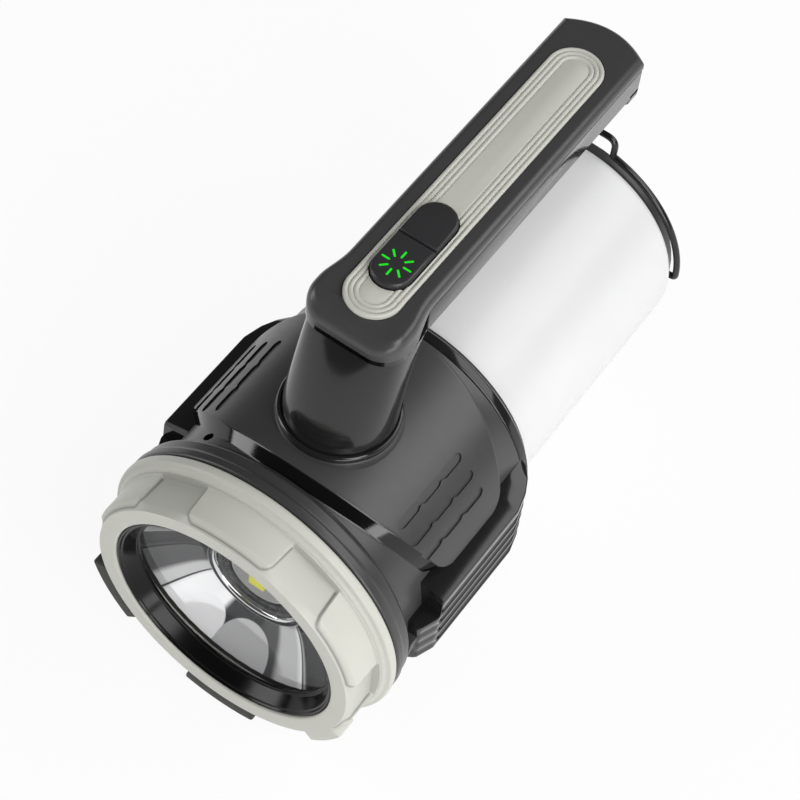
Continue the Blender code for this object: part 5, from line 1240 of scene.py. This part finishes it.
# %% Finishes by slot
STEEL = metal("brushed_steel", (0.42, 0.42, 0.43), (0.62, 0.62, 0.63), 0.24, (6.0, 0.6, 6.0))
ALLOY = metal("cast_alloy", (0.52, 0.53, 0.54), (0.66, 0.67, 0.68), 0.34)
BOARD = moulded("lacquered_board", (0.03, 0.16, 0.06), (0.05, 0.24, 0.10), 0.25, 0.45, 0.3, 2.0).material
WHITE = moulded("white_moulding", (0.78, 0.78, 0.77), (0.84, 0.84, 0.83), 0.35, 0.50, 0.15).material
SLEEVE = moulded("cell_sleeve", (0.05, 0.16, 0.40), (0.07, 0.22, 0.50), 0.20, 0.35, 0.1).material
SLOT_FINISHES = {
    "pale_grey": PALE, "satin_black": SATIN, "gloss_black": GLOSS, "rubber": RUBBER, "clear": CLEAR,
    "opal": OPAL, "mirror": CHROME, "steel": STEEL, "alloy": ALLOY, "cell_sleeve": SLEEVE,
    "board": BOARD, "phosphor": PHOSPHOR, "white": WHITE, "icon_green": GREEN, "coated_wire": COATED_WIRE,
}
print("finishes by slot:", len(SLOT_FINISHES))

# %% [markdown]
# The lower shell, the feet, the cap, the screws and the inlet with its cover have the right shapes
# already, as a plain solid gives them. Modelling them again would add nothing but round edges. So
# a copy of each solid is welded, its flat faces are made whole again, and small bevels are added.

# %% Dressed copies
COPIES = [("lower_shell", 0.4), ("rubber_foot_left", 0.8), ("rubber_foot_right", 0.8), ("rear_cap", 0.3),
          ("charge_port", 0.1), ("port_cover", 0.3)]
COPIES += [(name, 0.25) for name in sorted(frame["nodes"]) if "_screw_" in name]
FLAT_DEG = 0.5


def copy_of(node):
    shape = bmesh.new()
    shape.from_mesh(frame["nodes"][node].data)
    bmesh.ops.transform(shape, matrix=TO_WORLD.inverted(), verts=shape.verts)
    bmesh.ops.remove_doubles(shape, verts=shape.verts, dist=WELD)
    flat = math.radians(FLAT_DEG)
    bmesh.ops.dissolve_limit(shape, angle_limit=flat, verts=shape.verts, edges=shape.edges)
    return shape


slot_of = {row["node"]: row["material_slot"] for row in frame["record"]["subparts"]}
bodies = frame["record"]["behaviour"]["bodies"]
body_of = {node: body for body, nodes in bodies.items() for node in nodes}
for node, width in COPIES:
    shape, slot = soften(copy_of(node), width, 40, 2), slot_of[node]
    dress(f"{node}_skin", shape, SLOT_FINISHES[slot], [node], body_of[node])

# %% [markdown]
# The rest of the solids lies inside the lamp, where nobody looks closely: cells, boards, seals and
# the heat sink. Those pieces keep their shape and only get the finish of their slot.

# %% Inner parts
inner = {node: solid for node, solid in frame["nodes"].items() if not solid.hide_render}
for node, solid in inner.items():
    solid.data.materials.clear()
    solid.data.materials.append(SLOT_FINISHES[slot_of[node]])
print("inner parts that keep their solids:", len(inner))

# %% [markdown]
# The lamp stands on a plain white floor that keeps a light shadow. A floor lit by lamps alone is
# never quite white, and more light would bleach the lamp. So the floor glows almost white, but
# only for the camera and for rays that come from gloss or through clear plastic. To all other
# rays it is plain white paper.

# %% Floor
FLOOR_HALF, FLOOR_GLOW = 4.0, 0.91


def floor_finish():
    made = Finish("white_floor", roughness=0.9)
    made.set("Base Color", made.mix(made.noise(0.002), (0.90, 0.90, 0.90), (0.92, 0.92, 0.92)))
    path = made.node("ShaderNodeLightPath")
    seen = Value(made, path.outputs["Is Camera Ray"]) + Value(made, path.outputs["Is Glossy Ray"])
    seen = seen + Value(made, path.outputs["Is Transmission Ray"])
    glow = made.node("ShaderNodeEmission", None, {"Color": (1, 1, 1), "Strength": 1.0})
    inputs = {0: seen * FLOOR_GLOW, 1: made.shader.outputs[0], 2: glow.outputs[0]}
    mixed = made.node("ShaderNodeMixShader", None, inputs)
    made.feed(made.tree.nodes["Material Output"].inputs["Surface"], mixed.outputs[0])
    return made.material


shape = bmesh.new()
bmesh.ops.create_grid(shape, x_segments=1, y_segments=1, size=FLOOR_HALF)
floor_mesh = bpy.data.meshes.new("floor")
shape.to_mesh(floor_mesh)
shape.free()
floor_mesh.materials.append(floor_finish())
floor = bpy.data.objects.new("floor", floor_mesh)
bpy.context.collection.objects.link(floor)
floor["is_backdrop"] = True
print("floor is", 2 * FLOOR_HALF, "m wide")

# %% [markdown]
# The world is the room. It is white to the camera, grey as a light and almost black in
# reflections, as in a small studio, so that black gloss shows only the lamps. One world can't be
# all three, so the kind of ray chooses between them.

# %% World
WORLD_LIGHT, WORLD_IN_GLOSS, WORLD_SEEN = 0.24, 0.07, 1.0


def make_world():
    world = bpy.data.worlds.new("studio")
    world.use_nodes = True
    bpy.context.scene.world = world
    tree = world.node_tree
    path = tree.nodes.new("ShaderNodeLightPath")
    plain = tree.nodes.new("ShaderNodeRGB")
    plain.outputs[0].default_value = (WORLD_LIGHT, WORLD_LIGHT, WORLD_LIGHT, 1)
    light = plain.outputs[0]
    for kind, grey in (("Is Glossy Ray", WORLD_IN_GLOSS), ("Is Camera Ray", WORLD_SEEN)):
        mixed = tree.nodes.new("ShaderNodeMix")
        mixed.data_type = "RGBA"
        mixed.inputs[7].default_value = (grey, grey, grey, 1)
        tree.links.new(path.outputs[kind], mixed.inputs["Factor"])
        tree.links.new(light, mixed.inputs[6])
        light = mixed.outputs[2]
    tree.links.new(light, tree.nodes["Background"].inputs["Color"])


make_world()
print("world greys:", WORLD_LIGHT, WORLD_IN_GLOSS, WORLD_SEEN)

# %% [markdown]
# Four soft lamps stand round the object and all aim at it: one at the right, one at the left, one
# low at the front right and one high at the rear right. Small lamps would draw hard dots on gloss
# and hard shadows, so these are large rectangles, weak enough not to bleach the colours.

# %% Lamps
LAMPS = {
    "side_lamp": ((0.85, -0.45, 0.75), (0.5, 1.0), 8.0),
    "left_lamp": ((-1.0, -0.5, 0.6), (0.3, 1.0), 4.5),
    "low_lamp": ((0.98, -0.88, 0.14), (0.8, 0.24), 3.5),
    "top_lamp": ((0.75, 0.62, 0.85), (1.3, 0.7), 7.5),
}

for name, (place, (width, height), watts) in LAMPS.items():
    data = bpy.data.lights.new(name, "AREA")
    data.shape, data.size, data.size_y, data.energy = "RECTANGLE", width, height, watts
    lamp = bpy.data.objects.new(name, data)
    bpy.context.collection.objects.link(lamp)
    lamp.location = place
    lamp.rotation_euler = (LAMP_ORIGIN - Vector(place)).to_track_quat("-Z", "Y").to_euler()
bpy.context.scene.view_settings.view_transform = "Standard"
print("lamps:", len(LAMPS))

# %% [markdown] Last, the sizes of the solids and of the dressed lamp, printed side by side.

# %% Sizes and finish
boxes = {"solids": solid_box, "visual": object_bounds()}
for name, (low, high) in boxes.items():
    print(name, [round(float(h - l) / MM, 2) for l, h in zip(low, high)], "mm")
